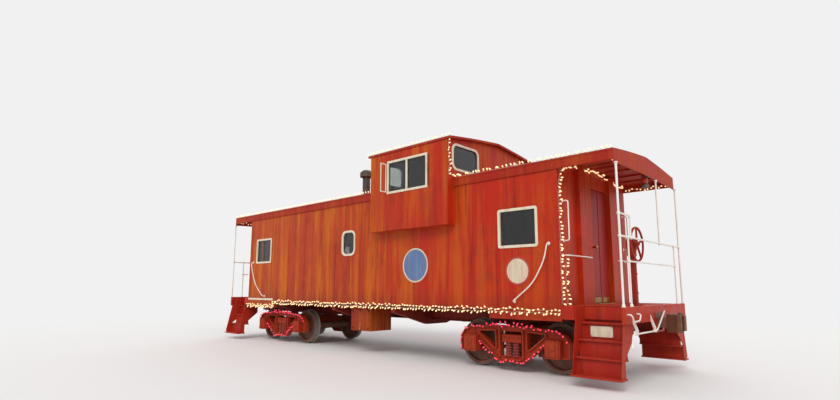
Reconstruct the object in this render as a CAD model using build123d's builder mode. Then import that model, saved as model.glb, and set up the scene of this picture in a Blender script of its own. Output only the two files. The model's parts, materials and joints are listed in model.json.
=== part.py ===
from build123d import *
import os
from math import sqrt

# Extended-vision cupola caboose, a steel railway brake van with end platforms.
# Millimetres. X runs along the car towards its A end, Y across, Z up from the flange tips.
# The near side is -Y. The B end is the A end turned half a turn about Z.

# Wheels and axles
tread_radius = 419
flange_height = 25.4
flange_width = 33
wheel_back_gap = 1353
rim_width = 140
rim_thickness = 62
hub_radius = 135
hub_width = 170
web_thickness = 26
axle_radius = 82
journal_radius = 70
journal_centres = 1956
journal_length = 254
journal_clearance = 0.5
axle_height = tread_radius + flange_height
wheel_back = wheel_back_gap / 2
journal_y = journal_centres / 2
shoulder_y = journal_y - journal_length / 2
axle_end_y = journal_y + journal_length / 2

# Trucks: the truck centres stand in from the body's ends
truck_inset = 1176
wheelbase = 1676
half_wheelbase = wheelbase / 2
frame_y = 998
frame_depth = 130
frame_web = 44
frame_rim = 30
frame_top = 790
frame_bottom = 160
frame_half_length = 1110
frame_corner = 45
raked_corner = 18
chord_shoulder = 420
window_floor = 262
window_top = 690
window_half = 222
window_rim = 24
box_width = 276
box_bottom = 300
box_top = 600
box_corner = 30
box_inner_y = shoulder_y + 34
box_outer_y = 1150
lid_thickness = 16
lid_hinge_radius = 14
bolster_half = 195
bolster_bottom = 500
bolster_top = 655
bolster_centre_bottom = 450
bolster_half_span = frame_y + 45
bowl_radius = 185
bowl_height = 15
side_bearing_y = 635
side_bearing_height = 60
side_bearing_length = 240
side_bearing_width = 90
side_bearing_gap = 6
spring_radius = 66
spring_core_radius = 50
spring_turns = 5
spring_pitch = 150
centre_plate_gap = 0.3

# Floor and underframe
floor_top = 1180
floor_thickness = 60
floor_bottom = floor_top - floor_thickness
centre_sill_width = 340
centre_sill_bottom = 754
sill_plate = 20
sill_flange = 60
sill_flange_plate = 16
body_bolster_width = 360
jacking_pad_length = 200
cross_bearer_x = 1000
cross_bearer_width = 110
cross_bearer_bottom = 660
outer_member_drop = 180
outer_member_bottom = floor_bottom - outer_member_drop
side_sill_depth = 60
side_sill_width = 70
tie_width = 80
tie_x = 2300
draft_gear_inset = 490
draft_gear_length = 160

# Body
body_length = 9700
body_width = 2845
wall = 70
side_skirt = 36
deep_skirt = 190
deep_side_length = 1370
cabin_height = 2500
half_length = body_length / 2
half_width = body_width / 2
inner_half_width = half_width - wall
truck_x = half_length - truck_inset
side_bottom = floor_bottom - side_skirt
deep_side_bottom = floor_bottom - deep_skirt
deep_side_start = half_length - deep_side_length
seat = 0.3
batten_width = 55
batten_proud = 5

# Main roof
roof_crown = floor_top + cabin_height
roof_canopy = 949
roof_overhang = 17.5
roof_pitch = 0.06
roof_radius = 23000
roof_thickness = 50
roof_skirt = 310
roof_end_plate = 14
roof_end_drop = 355
roof_end_rise = 25
roof_skirt_bottom = roof_crown - roof_skirt
roof_end_bottom = roof_crown - roof_end_drop
roof_half = half_length + roof_canopy
roof_half_width = half_width + roof_overhang

# Cupola: its ends stand at unequal distances from the middle of the car
cupola_start = 553
cupola_length = 2173
cupola_rise = 830
cupola_wall = 50
bay_depth = 203.5
bay_drop = 1055
bay_floor = 40
cupola_pitch = 0.085
cupola_radius = 28000
cupola_roof_thickness = 45
cupola_roof_side = 15
cupola_roof_end = 80
cupola_header_drop = 280
cupola_x0 = cupola_start
cupola_x1 = cupola_start + cupola_length
cupola_middle = (cupola_x0 + cupola_x1) / 2
cupola_crown = roof_crown + cupola_rise
cupola_header = roof_crown - cupola_header_drop
cupola_half = half_width + bay_depth
bay_bottom = roof_crown - bay_drop

# End walls and doors
door_width = 680
door_height = 2055
door_leaf = 45
door_gap = 8
door_set_back = 20
door_batten_width = 60
door_batten_proud = 8
hinge_radius = 9
hinge_length = 110
hinge_leaf_depth = 60
hinge_gap = 0.3
post_width = 220
post_depth = 72
post_inner_y = 530
post_drop = 140
post_top = roof_crown - post_drop
door_high_y = post_inner_y
door_low_y = door_high_y - door_width

# Platforms and steps
platform_length = 940
platform_top = floor_top - 5
deck_plate = 12
skirt_plate = 10
skirt_depth = 210
end_sill = 60
end_sill_depth = 245
end_sill_margin = 17.5
landing_length = 200
stair_depth = 380
step_count = 4
step_rise = 250
step_run = 130
tread_depth = 200
tread_plate = 25
riser_set_back = 40
riser_plate = 6
stringer = 8
bottom_tread_lip = 18
platform_end = half_length + platform_length
end_face = platform_end + end_sill
end_sill_half = half_width + end_sill_margin
step_well_x = half_length + landing_length
step_well_y = end_sill_half - stair_depth

# Windows: centre x, glass width, glass height, corner radius
side_window_z = floor_top + 1290
side_windows = [
    (half_length - 764, 690, 590, 12),
    (-half_length + 732, 690, 590, 12),
    (-414, 390, 490, 110),
]
cupola_window_drop = 758
cupola_window_width = 1050
cupola_window_height = 610
cupola_mullion = 40
end_window_y = 1066
end_window_width = 780
end_window_head = 321
end_window_sill = 59
end_window_corner = 110
frame_face = 46
frame_proud = 12
frame_sleeve = 14
glass_thickness = 6
glass_gap = 0.3
cupola_window_z = cupola_crown - cupola_window_drop
end_window_z = (cupola_crown - end_window_head + roof_crown + end_window_sill) / 2
end_window_height = cupola_rise - end_window_head - end_window_sill

# Railings, brake stands, couplers and small pieces
rail_bar = 17
post_bar = 14
rail_set_back = 30
rail_post_margin = 15
rail_inner_gap = 50
top_rail_height = 1039
mid_rail_height = 675
canopy_rod_y = 340
rail_x = end_face - rail_set_back
rail_post_y = end_sill_half - rail_post_margin
rail_inner_y = step_well_y + rail_inner_gap
top_rail_z = platform_top + top_rail_height
mid_rail_z = platform_top + mid_rail_height
hand_hold_height = 340
hand_hold_length = 435
brake_stand_y = -600
brake_stand_gap = 130
brake_wheel_height = 967
brake_wheel_radius = 280
brake_rim_bar = 13
brake_wheel_z = platform_top + brake_wheel_height
coupler_z = 901
coupler_reach = 380
shank_width = 130
shank_height = 160
head_height = 280
coupler_corner = 12
lever_radius = 12
lever_z = 790
grab_bar = 11
grab_bend = 35
grab_stand_off = 60
tool_box_x0 = -463
tool_box_x1 = 188
tool_box_y0 = -1250
tool_box_y1 = -614
tool_box_bottom = 501
jack_x = -886
jack_y = -500
jack_radius = 95
jack_skirt = 60
jack_cap_radius = 165
jack_rise = 740
jack_top = roof_crown + jack_rise
deflector_depth = 170
deflector_height = 620
deflector_plate = 14
deflector_bar = 24

# Furniture
locker_gap = 0.3
bench_length = 2100
bench_depth = 590
bench_height = 440
desk_length = 900
desk_depth = 540
desk_height = 770
seat_rise = 345
seat_back_rise = 835
seat_depth = 550
seat_back = 90
stove_radius = 210
stove_height = 900
stove_pipe_radius = 75


def slope_z(crown, pitch, radius, y):
    """Height of a peaked roof at a distance y from its ridge: each slope is a shallow arc."""
    lean = radius * pitch / sqrt(1 + pitch**2)
    return crown + sqrt(radius**2 - (abs(y) + lean) ** 2) - sqrt(radius**2 - lean**2)


def roof_z(y):
    return slope_z(roof_crown, roof_pitch, roof_radius, y)


def cupola_z(y):
    return slope_z(cupola_crown, cupola_pitch, cupola_radius, y)


def slopes(height, reach, below=0):
    """Both slopes of a roof section, from one side over the ridge to the other."""
    points = [(y, height(y) - below) for y in (-reach, -reach / 2, 0, reach / 2, reach)]
    ThreePointArc(*points[:3])
    ThreePointArc(*points[2:])


def save(shape, name):
    shape.label = name
    export_step(shape, f"parts/{name}.step")


def round_bar(points, radius, bend):
    """A round bar through the points, its corners bent to one radius or to a list of them."""
    with BuildPart() as bar:
        with BuildLine() as route:
            if len(points) > 2:
                FilletPolyline(*points, radius=bend)
            else:
                Line(*points)
        with BuildSketch(Plane(origin=route.line @ 0, z_dir=route.line % 0)):
            Circle(radius)
        sweep()
    return bar.part


os.makedirs("parts", exist_ok=True)
ends = [("a", 0), ("b", 180)]

# Wheelset: one axle and its two wheels, turned about the axle line
wheel_profile = [
    (0, 0),
    (0, axle_radius),
    (wheel_back - (hub_width - rim_width) / 2, axle_radius),
    (wheel_back - (hub_width - rim_width) / 2, hub_radius),
    (wheel_back + rim_width / 2 - web_thickness, hub_radius + 25),
    (wheel_back + rim_width / 2 - web_thickness, tread_radius - rim_thickness - 20),
    (wheel_back, tread_radius - rim_thickness),
    (wheel_back, axle_height - 6),
    (wheel_back + flange_width / 3, axle_height),
    (wheel_back + flange_width, tread_radius + 4),
    (wheel_back + rim_width, tread_radius - 6),
    (wheel_back + rim_width, tread_radius - rim_thickness),
    (wheel_back + rim_width / 2 + web_thickness / 2, tread_radius - rim_thickness - 20),
    (wheel_back + rim_width / 2 + web_thickness / 2, hub_radius + 25),
    (wheel_back + rim_width + 15, hub_radius),
    (wheel_back + rim_width + 15, axle_radius),
    (shoulder_y, axle_radius),
    (shoulder_y, journal_radius),
    (axle_end_y, journal_radius),
    (axle_end_y, 0),
]
with BuildPart() as wheelset:
    with BuildSketch(Plane.YZ):
        with BuildLine():
            Polyline(*wheel_profile, close=True)
        make_face()
    revolve(axis=Axis.Y)
    mirror(about=Plane.XZ)

for end, turn in ends:
    for number, side in ((1, 1), (2, -1)):
        with BuildPart() as placed:
            with Locations((truck_x + side * half_wheelbase, 0, axle_height)):
                add(wheelset.part)
        save(placed.part.rotate(Axis.Z, turn), f"wheelset_{end}{number}")

# Truck side frame: a cast truss with two raked windows, a spring opening and two journal boxes
frame_half_outline = [
    (chord_shoulder, frame_top),
    (880, frame_top - 42),
    (1020, frame_top - 100),
    (frame_half_length, frame_top - 230),
    (frame_half_length, box_bottom),
    (half_wheelbase - box_width / 2, box_bottom),
    (half_wheelbase - box_width / 2, box_bottom + 215),
    (240, frame_bottom),
]
frame_outline = frame_half_outline + [(-x, z) for x, z in reversed(frame_half_outline)]
raked_window = [(322, 372), (328, 692), (705, 668)]

window_middle_z = (window_floor + window_top) / 2
window_height = window_top - window_floor

with BuildPart() as side_frame:
    with BuildSketch(Plane.XZ.offset(frame_y - frame_web / 2)):
        with BuildLine():
            FilletPolyline(*frame_outline, radius=frame_corner, close=True)
        make_face()
        with BuildLine():
            FilletPolyline(*raked_window, radius=raked_corner, close=True)
        make_face(mode=Mode.SUBTRACT)
        with BuildLine():
            FilletPolyline(*[(-x, z) for x, z in raked_window], radius=raked_corner, close=True)
        make_face(mode=Mode.SUBTRACT)
        with Locations((0, window_middle_z)):
            Rectangle(2 * window_half, window_height, mode=Mode.SUBTRACT)
    extrude(amount=frame_web)
    with BuildSketch(Plane.XZ.offset(frame_y - frame_depth / 2)) as outer_rim:
        with BuildLine():
            FilletPolyline(*frame_outline, radius=frame_corner, close=True)
        make_face()
        offset(amount=-frame_rim, mode=Mode.SUBTRACT)
    extrude(amount=frame_depth)
    for flip in (1, -1):
        with BuildSketch(Plane.XZ.offset(frame_y - frame_depth / 2)):
            with BuildLine():
                FilletPolyline(*[(flip * x, z) for x, z in raked_window], radius=raked_corner, close=True)
            make_face()
            offset(amount=window_rim)
            with BuildLine():
                FilletPolyline(*[(flip * x, z) for x, z in raked_window], radius=raked_corner, close=True)
            make_face(mode=Mode.SUBTRACT)
            with Locations((flip * (window_half + frame_rim / 2), window_middle_z)):
                Rectangle(frame_rim, window_height + 2 * frame_rim)
        extrude(amount=frame_depth)
    with BuildSketch(Plane.XZ.offset(box_inner_y)):
        with Locations(*[(side * half_wheelbase, (box_top + box_bottom) / 2) for side in (-1, 1)]):
            RectangleRounded(box_width, box_top - box_bottom, box_corner)
    extrude(amount=box_outer_y - box_inner_y)
    with BuildSketch(Plane.XZ.offset(box_outer_y)):
        with Locations(*[(side * half_wheelbase, (box_top + box_bottom) / 2) for side in (-1, 1)]):
            RectangleRounded(box_width - 40, box_top - box_bottom - 50, box_corner)
    extrude(amount=lid_thickness, taper=25)
    for side in (-1, 1):
        with BuildSketch(Plane.YZ.offset(side * half_wheelbase - box_width / 4)):
            with Locations((-box_outer_y, box_top - lid_hinge_radius - 8)):
                Circle(lid_hinge_radius)
        extrude(amount=box_width / 2)
    with BuildSketch(Plane.XZ.offset(box_inner_y)):
        with Locations((-half_wheelbase, axle_height), (half_wheelbase, axle_height)):
            Circle(journal_radius + journal_clearance)
    extrude(amount=axle_end_y + 10 - box_inner_y, mode=Mode.SUBTRACT)

with BuildPart() as side_frames:
    with Locations((truck_x, 0, 0)):
        add(side_frame.part)
        add(mirror(side_frame.part, about=Plane.XZ, mode=Mode.PRIVATE))

# Truck bolster with its centre bowl and side bearings
bolster_profile = [
    (0, bolster_centre_bottom),
    (420, bolster_centre_bottom),
    (760, bolster_bottom),
    (bolster_half_span, bolster_bottom),
    (bolster_half_span, bolster_top - 20),
    (780, bolster_top),
    (0, bolster_top),
]
with BuildPart() as bolster:
    with BuildSketch(Plane.YZ.offset(truck_x - bolster_half)):
        with BuildLine():
            Polyline(*bolster_profile, close=True)
        make_face()
        mirror(about=Plane.YZ)
    extrude(amount=2 * bolster_half)
    with BuildSketch(Plane.XY.offset(bolster_top)):
        with Locations((truck_x, 0)):
            Circle(bowl_radius)
    extrude(amount=bowl_height)
    with BuildSketch(Plane.XY.offset(bolster_top)):
        with Locations((truck_x, -side_bearing_y), (truck_x, side_bearing_y)):
            Rectangle(side_bearing_length, side_bearing_width)
    extrude(amount=side_bearing_height)

# Truck springs: two coils in each side frame, their turns shown as grooves
spring_height = bolster_bottom - window_floor
turn_height = spring_height / spring_turns
spring_profile = [(0, 0), (spring_radius, 0)]
for turn in range(spring_turns):
    low = turn * turn_height
    spring_profile.append((spring_radius, low + turn_height / 2))
    spring_profile.append((spring_core_radius, low + turn_height * 0.75))
    spring_profile.append((spring_radius, low + turn_height))
spring_profile.append((0, spring_height))
with BuildPart() as spring:
    with BuildSketch(Plane.XZ):
        with BuildLine():
            Polyline(*spring_profile, close=True)
        make_face()
    revolve(axis=Axis.Z)
with BuildPart() as springs:
    for y in (-frame_y, frame_y):
        for x in (truck_x - spring_pitch / 2, truck_x + spring_pitch / 2):
            with Locations((x, y, window_floor)):
                add(spring.part)

# Brake beams with their shoes, carried by the webs of the side frames
shoe_gap = 11
shoe_thickness = 45
shoe_half_height = 150
shoe_width = 90
beam_height = 60
beam_z = 385
shoe_y = wheel_back + rim_width / 2 + 10
beam_x = half_wheelbase - tread_radius - shoe_gap - shoe_thickness
beam_half = frame_y - frame_depth / 2
with BuildPart() as brake_beams:
    for side in (-1, 1):
        with BuildSketch(Plane.XZ.offset(-beam_half)):
            with Locations((truck_x + side * (beam_x - 20), beam_z)):
                Rectangle(50, beam_height)
        extrude(amount=2 * beam_half)
        for y in (-shoe_y, shoe_y):
            with BuildSketch(Plane.XZ.offset(-y - shoe_width / 2)):
                with Locations((truck_x + side * half_wheelbase, axle_height)):
                    Circle(tread_radius + shoe_gap + shoe_thickness)
                    Circle(tread_radius + shoe_gap, mode=Mode.SUBTRACT)
                with Locations((truck_x + side * beam_x, axle_height - 30)):
                    Rectangle(160, 2 * shoe_half_height, mode=Mode.INTERSECT)
            extrude(amount=shoe_width)

for end, turn in ends:
    save(side_frames.part.rotate(Axis.Z, turn), f"truck_{end}_side_frames")
    save(bolster.part.rotate(Axis.Z, turn), f"truck_{end}_bolster")
    save(springs.part.rotate(Axis.Z, turn), f"truck_{end}_springs")
    save(brake_beams.part.rotate(Axis.Z, turn), f"truck_{end}_brake_beams")

# Centre sill: a box girder with a bottom flange, draft gear and the two centre plates
centre_plate_top = bolster_top + bowl_height + centre_plate_gap
half_sill = centre_sill_width / 2
flange_top = centre_sill_bottom + sill_flange_plate
draft_gear_x = platform_end - draft_gear_inset
with BuildPart() as centre_sill:
    with BuildSketch(Plane.YZ.offset(-platform_end)):
        with Locations((0, (centre_sill_bottom + floor_bottom) / 2)):
            Rectangle(centre_sill_width, floor_bottom - centre_sill_bottom)
        with Locations((0, centre_sill_bottom + sill_flange_plate / 2)):
            Rectangle(centre_sill_width + 2 * sill_flange, sill_flange_plate)
        with Locations((0, (centre_sill_bottom + floor_bottom - sill_plate) / 2)):
            Rectangle(
                centre_sill_width - 2 * sill_plate,
                floor_bottom - sill_plate - centre_sill_bottom,
                mode=Mode.SUBTRACT,
            )
    extrude(amount=2 * platform_end)
    for x in (-truck_x, truck_x):
        with BuildSketch(Plane.XY.offset(centre_sill_bottom)):
            with Locations((x, 0)):
                Rectangle(body_bolster_width, centre_sill_width)
        extrude(amount=sill_flange_plate)
        with BuildSketch(Plane.XY.offset(centre_plate_top)):
            with Locations((x, 0)):
                Circle(bowl_radius - 15)
        extrude(amount=centre_sill_bottom - centre_plate_top)
    for x in (-draft_gear_x, draft_gear_x):
        with BuildSketch(Plane.YZ.offset(x - draft_gear_length / 2)):
            with Locations((0, coupler_z)):
                Rectangle(centre_sill_width - sill_plate, 250)
        extrude(amount=draft_gear_length)
save(centre_sill.part, "centre_sill")

# Body bolsters: a tapered arm each side of the sill, with a side bearing and a jacking pad
pad_start = inner_half_width - jacking_pad_length
bolster_arm = [
    (half_sill, flange_top + 20),
    (700, centre_sill_bottom + 96),
    (pad_start, outer_member_bottom),
    (inner_half_width, outer_member_bottom),
    (inner_half_width, floor_bottom),
    (half_sill, floor_bottom),
]
side_bearing_face = bolster_top + side_bearing_height + side_bearing_gap
with BuildPart() as body_bolsters:
    for x in (-truck_x, truck_x):
        with BuildSketch(Plane.YZ.offset(x - body_bolster_width / 2)):
            with BuildLine():
                Polyline(*bolster_arm, close=True)
            make_face()
        extrude(amount=body_bolster_width)
        with BuildSketch(Plane.XY.offset(side_bearing_face)):
            with Locations((x, side_bearing_y)):
                Rectangle(side_bearing_length, side_bearing_width)
        extrude(amount=centre_sill_bottom + 120 - side_bearing_face)
    mirror(about=Plane.XZ)
save(body_bolsters.part, "body_bolsters")

# Cross members: two bearers that pass under the centre sill, and a member under each end wall
flange_half = half_sill + sill_flange
bearer_outline = [
    (0, cross_bearer_bottom),
    (flange_half + 100, cross_bearer_bottom),
    (inner_half_width - jacking_pad_length, outer_member_bottom - 50),
    (inner_half_width, outer_member_bottom),
    (inner_half_width, floor_bottom),
    (half_sill, floor_bottom),
    (half_sill, flange_top),
    (flange_half, flange_top),
    (flange_half, centre_sill_bottom),
    (0, centre_sill_bottom),
]
with BuildPart() as cross_members:
    for x in (-cross_bearer_x, cross_bearer_x):
        with BuildSketch(Plane.YZ.offset(x - cross_bearer_width / 2)):
            with BuildLine():
                Polyline(*bearer_outline, close=True)
            make_face()
        extrude(amount=cross_bearer_width)
    for x in (-half_length, half_length - wall):
        with BuildSketch(Plane.YZ.offset(x)):
            with Locations(((half_sill + inner_half_width) / 2, (deep_side_bottom + floor_bottom) / 2)):
                Rectangle(inner_half_width - half_sill, deep_skirt)
        extrude(amount=wall)
    mirror(about=Plane.XZ)
save(cross_members.part, "cross_members")

# Floor frame: side sills and ties between the members, each side of the centre sill
floor_length = body_length - 2 * wall
with BuildPart() as floor_frame:
    with BuildSketch(Plane.XY.offset(floor_bottom - side_sill_depth)):
        Rectangle(floor_length, 2 * inner_half_width)
        Rectangle(floor_length, 2 * (inner_half_width - side_sill_width), mode=Mode.SUBTRACT)
        for x in (tool_box_x0 + tie_width, tool_box_x1 - tie_width, -tie_x, tie_x):
            with Locations((x, 0)):
                Rectangle(tie_width, 2 * inner_half_width)
        Rectangle(floor_length, centre_sill_width, mode=Mode.SUBTRACT)
        with Locations((-truck_x, 0), (truck_x, 0)):
            Rectangle(body_bolster_width, 2 * inner_half_width, mode=Mode.SUBTRACT)
        with Locations((-cross_bearer_x, 0), (cross_bearer_x, 0)):
            Rectangle(cross_bearer_width, 2 * inner_half_width, mode=Mode.SUBTRACT)
    extrude(amount=side_sill_depth)
save(floor_frame.part, "floor_frame")

# Floor
with BuildPart() as floor:
    with BuildSketch(Plane.XY.offset(floor_bottom)):
        Rectangle(floor_length, 2 * inner_half_width)
    extrude(amount=floor_thickness)
save(floor.part, "floor")

# Side walls, notched for the cupola bays, with their windows cut
wall_top = roof_z(half_width) - roof_thickness - 6
bay_top = bay_bottom + bay_floor
wall_outline = [
    (-half_length, deep_side_bottom),
    (-deep_side_start, deep_side_bottom),
    (-deep_side_start, side_bottom),
    (deep_side_start, side_bottom),
    (deep_side_start, deep_side_bottom),
    (half_length, deep_side_bottom),
    (half_length, wall_top),
    (cupola_x1, wall_top),
    (cupola_x1, bay_top),
    (cupola_x0, bay_top),
    (cupola_x0, wall_top),
    (-half_length, wall_top),
]
batten_x = [
    -half_length + 60,
    -half_length + 1250,
    -half_length + 1945,
    -half_length + 2670,
    half_length - 1420,
    half_length - 60,
]
with BuildPart() as side_wall:
    with BuildSketch(Plane.XZ.offset(half_width)):
        with BuildLine():
            Polyline(*wall_outline, close=True)
        make_face()
        for x, width, height, corner in side_windows:
            with Locations((x, side_window_z)):
                RectangleRounded(
                    width + 2 * frame_sleeve, height + 2 * frame_sleeve, corner, mode=Mode.SUBTRACT
                )
    extrude(amount=-wall)
    with BuildSketch(Plane.XZ.offset(half_width)):
        for x in batten_x:
            with Locations((x, (side_bottom + roof_skirt_bottom) / 2)):
                Rectangle(batten_width, roof_skirt_bottom - side_bottom - 2 * seat)
    extrude(amount=batten_proud)
save(side_wall.part, "side_wall_near")
save(mirror(side_wall.part, about=Plane.XZ), "side_wall_far")

# Window frames: a proud face outside and a sleeve through the wall
pane_width = (cupola_window_width - cupola_mullion) / 2
pane_offset = (cupola_mullion + pane_width) / 2
frame_depths = [(frame_proud, frame_face), (-wall, frame_sleeve)]
cupola_frame_depths = [(frame_proud, frame_face), (-cupola_wall, frame_sleeve)]
with BuildPart() as window_frames:
    for depth, margin in frame_depths:
        with BuildSketch(Plane.XZ.offset(half_width)):
            for x, width, height, corner in side_windows:
                with Locations((x, side_window_z)):
                    RectangleRounded(width + 2 * margin, height + 2 * margin, corner + margin - frame_sleeve)
                    RectangleRounded(width, height, corner, mode=Mode.SUBTRACT)
        extrude(amount=depth)
    for depth, margin in cupola_frame_depths:
        with BuildSketch(Plane.XZ.offset(cupola_half)):
            with Locations((cupola_middle, cupola_window_z)):
                Rectangle(cupola_window_width + 2 * margin, cupola_window_height + 2 * margin)
            with Locations(
                (cupola_middle - pane_offset, cupola_window_z), (cupola_middle + pane_offset, cupola_window_z)
            ):
                Rectangle(pane_width, cupola_window_height, mode=Mode.SUBTRACT)
        extrude(amount=depth)
        for x, outward in ((cupola_x1, 1), (cupola_x0, -1)):
            with BuildSketch(Plane.YZ.offset(x)):
                with Locations((-end_window_y, end_window_z)):
                    RectangleRounded(
                        end_window_width + 2 * margin,
                        end_window_height + 2 * margin,
                        end_window_corner + margin - frame_sleeve,
                    )
                    RectangleRounded(
                        end_window_width, end_window_height, end_window_corner, mode=Mode.SUBTRACT
                    )
            extrude(amount=outward * depth)
    mirror(about=Plane.XZ)
save(window_frames.part, "window_frames")

# Window glass: two panes in each cupola side, one pane in every other window
with BuildPart() as window_glass:
    with BuildSketch(Plane.XZ.offset(half_width - wall / 2)):
        for x, width, height, corner in side_windows:
            with Locations((x, side_window_z)):
                RectangleRounded(width - 2 * glass_gap, height - 2 * glass_gap, corner)
    extrude(amount=glass_thickness)
    with BuildSketch(Plane.XZ.offset(cupola_half - cupola_wall / 2)):
        with Locations(
            (cupola_middle - pane_offset, cupola_window_z), (cupola_middle + pane_offset, cupola_window_z)
        ):
            Rectangle(pane_width - 2 * glass_gap, cupola_window_height - 2 * glass_gap)
    extrude(amount=glass_thickness)
    for x in (cupola_x0 + cupola_wall / 2, cupola_x1 - cupola_wall / 2):
        with BuildSketch(Plane.YZ.offset(x)):
            with Locations((-end_window_y, end_window_z)):
                RectangleRounded(
                    end_window_width - 2 * glass_gap, end_window_height - 2 * glass_gap, end_window_corner
                )
        extrude(amount=glass_thickness)
    mirror(about=Plane.XZ)
save(window_glass.part, "window_glass")

# End wall with its doorway, collision posts and hinge knuckles
door_bottom = floor_top + door_gap
door_top = floor_top + door_height - door_gap
hinge_x = half_length - wall - hinge_radius - 1
hinge_y = door_high_y - 2
hinge_heights = [floor_top + 350, floor_top + 1030, floor_top + 1720]
wall_knuckle = hinge_length * 0.4
with BuildPart() as end_wall:
    with BuildSketch(Plane.YZ.offset(half_length)):
        with BuildLine():
            edge = roof_z(inner_half_width) - roof_thickness - seat
            slopes(roof_z, inner_half_width, roof_thickness + seat)
            Polyline(
                (inner_half_width, edge),
                (inner_half_width, floor_bottom),
                (-inner_half_width, floor_bottom),
                (-inner_half_width, edge),
            )
        make_face()
        with Locations(((door_low_y + door_high_y) / 2, floor_top + door_height / 2)):
            Rectangle(door_width, door_height, mode=Mode.SUBTRACT)
    extrude(amount=-wall)
    with BuildSketch(Plane.YZ.offset(half_length)):
        with Locations(
            (-post_inner_y - post_width / 2, (platform_top + post_top) / 2),
            (post_inner_y + post_width / 2, (platform_top + post_top) / 2),
        ):
            Rectangle(post_width, post_top - platform_top)
    extrude(amount=post_depth)
    for z in hinge_heights:
        for low in (z - hinge_length / 2 - hinge_gap - wall_knuckle, z + hinge_length / 2 + hinge_gap):
            with BuildSketch(Plane.XY.offset(low)):
                with Locations((hinge_x, hinge_y)):
                    Circle(hinge_radius)
                with Locations((hinge_x + 4, door_high_y + 30)):
                    Rectangle(12, 60)
                with Locations((half_length - wall - 3, door_high_y + 30)):
                    Rectangle(8, 60)
            extrude(amount=wall_knuckle)

# Door leaf, recessed in the doorway and hung on three knuckles
leaf_outer_x = half_length - door_set_back
with BuildPart() as door:
    with BuildSketch(Plane.YZ.offset(leaf_outer_x)):
        with Locations(((door_low_y + door_high_y) / 2, (door_bottom + door_top) / 2)):
            Rectangle(door_width - 2 * door_gap, door_top - door_bottom)
    extrude(amount=-door_leaf)
    with BuildSketch(Plane.YZ.offset(leaf_outer_x)):
        with Locations(((door_low_y + door_high_y) / 2, (door_bottom + door_top) / 2)):
            Rectangle(door_batten_width, door_top - door_bottom)
    extrude(amount=door_batten_proud)
    for z in hinge_heights:
        with BuildSketch(Plane.XY.offset(z - hinge_length / 2)):
            with Locations((hinge_x, hinge_y)):
                Circle(hinge_radius)
            with BuildLine():
                Polyline(
                    (hinge_x - 6, hinge_y - 2),
                    (hinge_x + 6, hinge_y - 2),
                    (leaf_outer_x - door_leaf + 2, door_high_y - door_gap - 4),
                    (leaf_outer_x - door_leaf + 2, door_high_y - door_gap - hinge_leaf_depth),
                    (leaf_outer_x - door_leaf - 6, door_high_y - door_gap - hinge_leaf_depth),
                    close=True,
                )
            make_face()
        extrude(amount=hinge_length)
    with BuildSketch(Plane.YZ.offset(leaf_outer_x)):
        with Locations((door_low_y + 70, floor_top + 1000)):
            Circle(24)
    extrude(amount=48)

for end, turn in ends:
    save(end_wall.part.rotate(Axis.Z, turn), f"end_wall_{end}")
    save(door.part.rotate(Axis.Z, turn), f"door_{end}")

# Main roof, slightly peaked, in two lengths: one each side of the cupola, each running out as a canopy
skirt_inner = roof_half_width - roof_overhang
roof_edge_z = roof_z(roof_half_width)
roof_under_z = roof_z(skirt_inner) - roof_thickness
for end, x_start, x_stop, plate_x in (
    ("a", cupola_x1, roof_half, roof_half - roof_end_plate),
    ("b", -roof_half, cupola_x0, -roof_half),
):
    with BuildPart() as roof:
        with BuildSketch(Plane.YZ.offset(x_start)):
            with BuildLine():
                slopes(roof_z, roof_half_width)
                Polyline(
                    (roof_half_width, roof_edge_z),
                    (roof_half_width, roof_skirt_bottom),
                    (skirt_inner, roof_skirt_bottom),
                    (skirt_inner, roof_under_z),
                )
                slopes(roof_z, skirt_inner, roof_thickness)
                Polyline(
                    (-skirt_inner, roof_under_z),
                    (-skirt_inner, roof_skirt_bottom),
                    (-roof_half_width, roof_skirt_bottom),
                    (-roof_half_width, roof_edge_z),
                )
            make_face()
        extrude(amount=x_stop - x_start)
        with BuildSketch(Plane.YZ.offset(plate_x)):
            with BuildLine():
                slopes(roof_z, roof_half_width)
                Line((roof_half_width, roof_edge_z), (roof_half_width, roof_end_bottom))
                ThreePointArc(
                    (roof_half_width, roof_end_bottom),
                    (0, roof_end_bottom + roof_end_rise),
                    (-roof_half_width, roof_end_bottom),
                )
                Line((-roof_half_width, roof_end_bottom), (-roof_half_width, roof_edge_z))
            make_face()
        extrude(amount=roof_end_plate)
    save(roof.part, f"roof_{end}")

# Cupola side: outer wall, window opening and the bay's floor
cupola_wall_top = cupola_z(cupola_half) - cupola_roof_thickness - 6
with BuildPart() as cupola_side:
    with BuildSketch(Plane.XZ.offset(cupola_half)):
        with Locations((cupola_middle, (bay_bottom + cupola_wall_top) / 2)):
            Rectangle(cupola_x1 - cupola_x0, cupola_wall_top - bay_bottom)
        with Locations((cupola_middle, cupola_window_z)):
            Rectangle(
                cupola_window_width + 2 * frame_sleeve,
                cupola_window_height + 2 * frame_sleeve,
                mode=Mode.SUBTRACT,
            )
    extrude(amount=-cupola_wall)
    with BuildSketch(Plane.XY.offset(bay_bottom)):
        with Locations((cupola_middle, -(half_width + cupola_half) / 2)):
            Rectangle(cupola_x1 - cupola_x0, cupola_half - half_width)
    extrude(amount=bay_floor)
save(cupola_side.part, "cupola_side_near")
save(mirror(cupola_side.part, about=Plane.XZ), "cupola_side_far")

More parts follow.
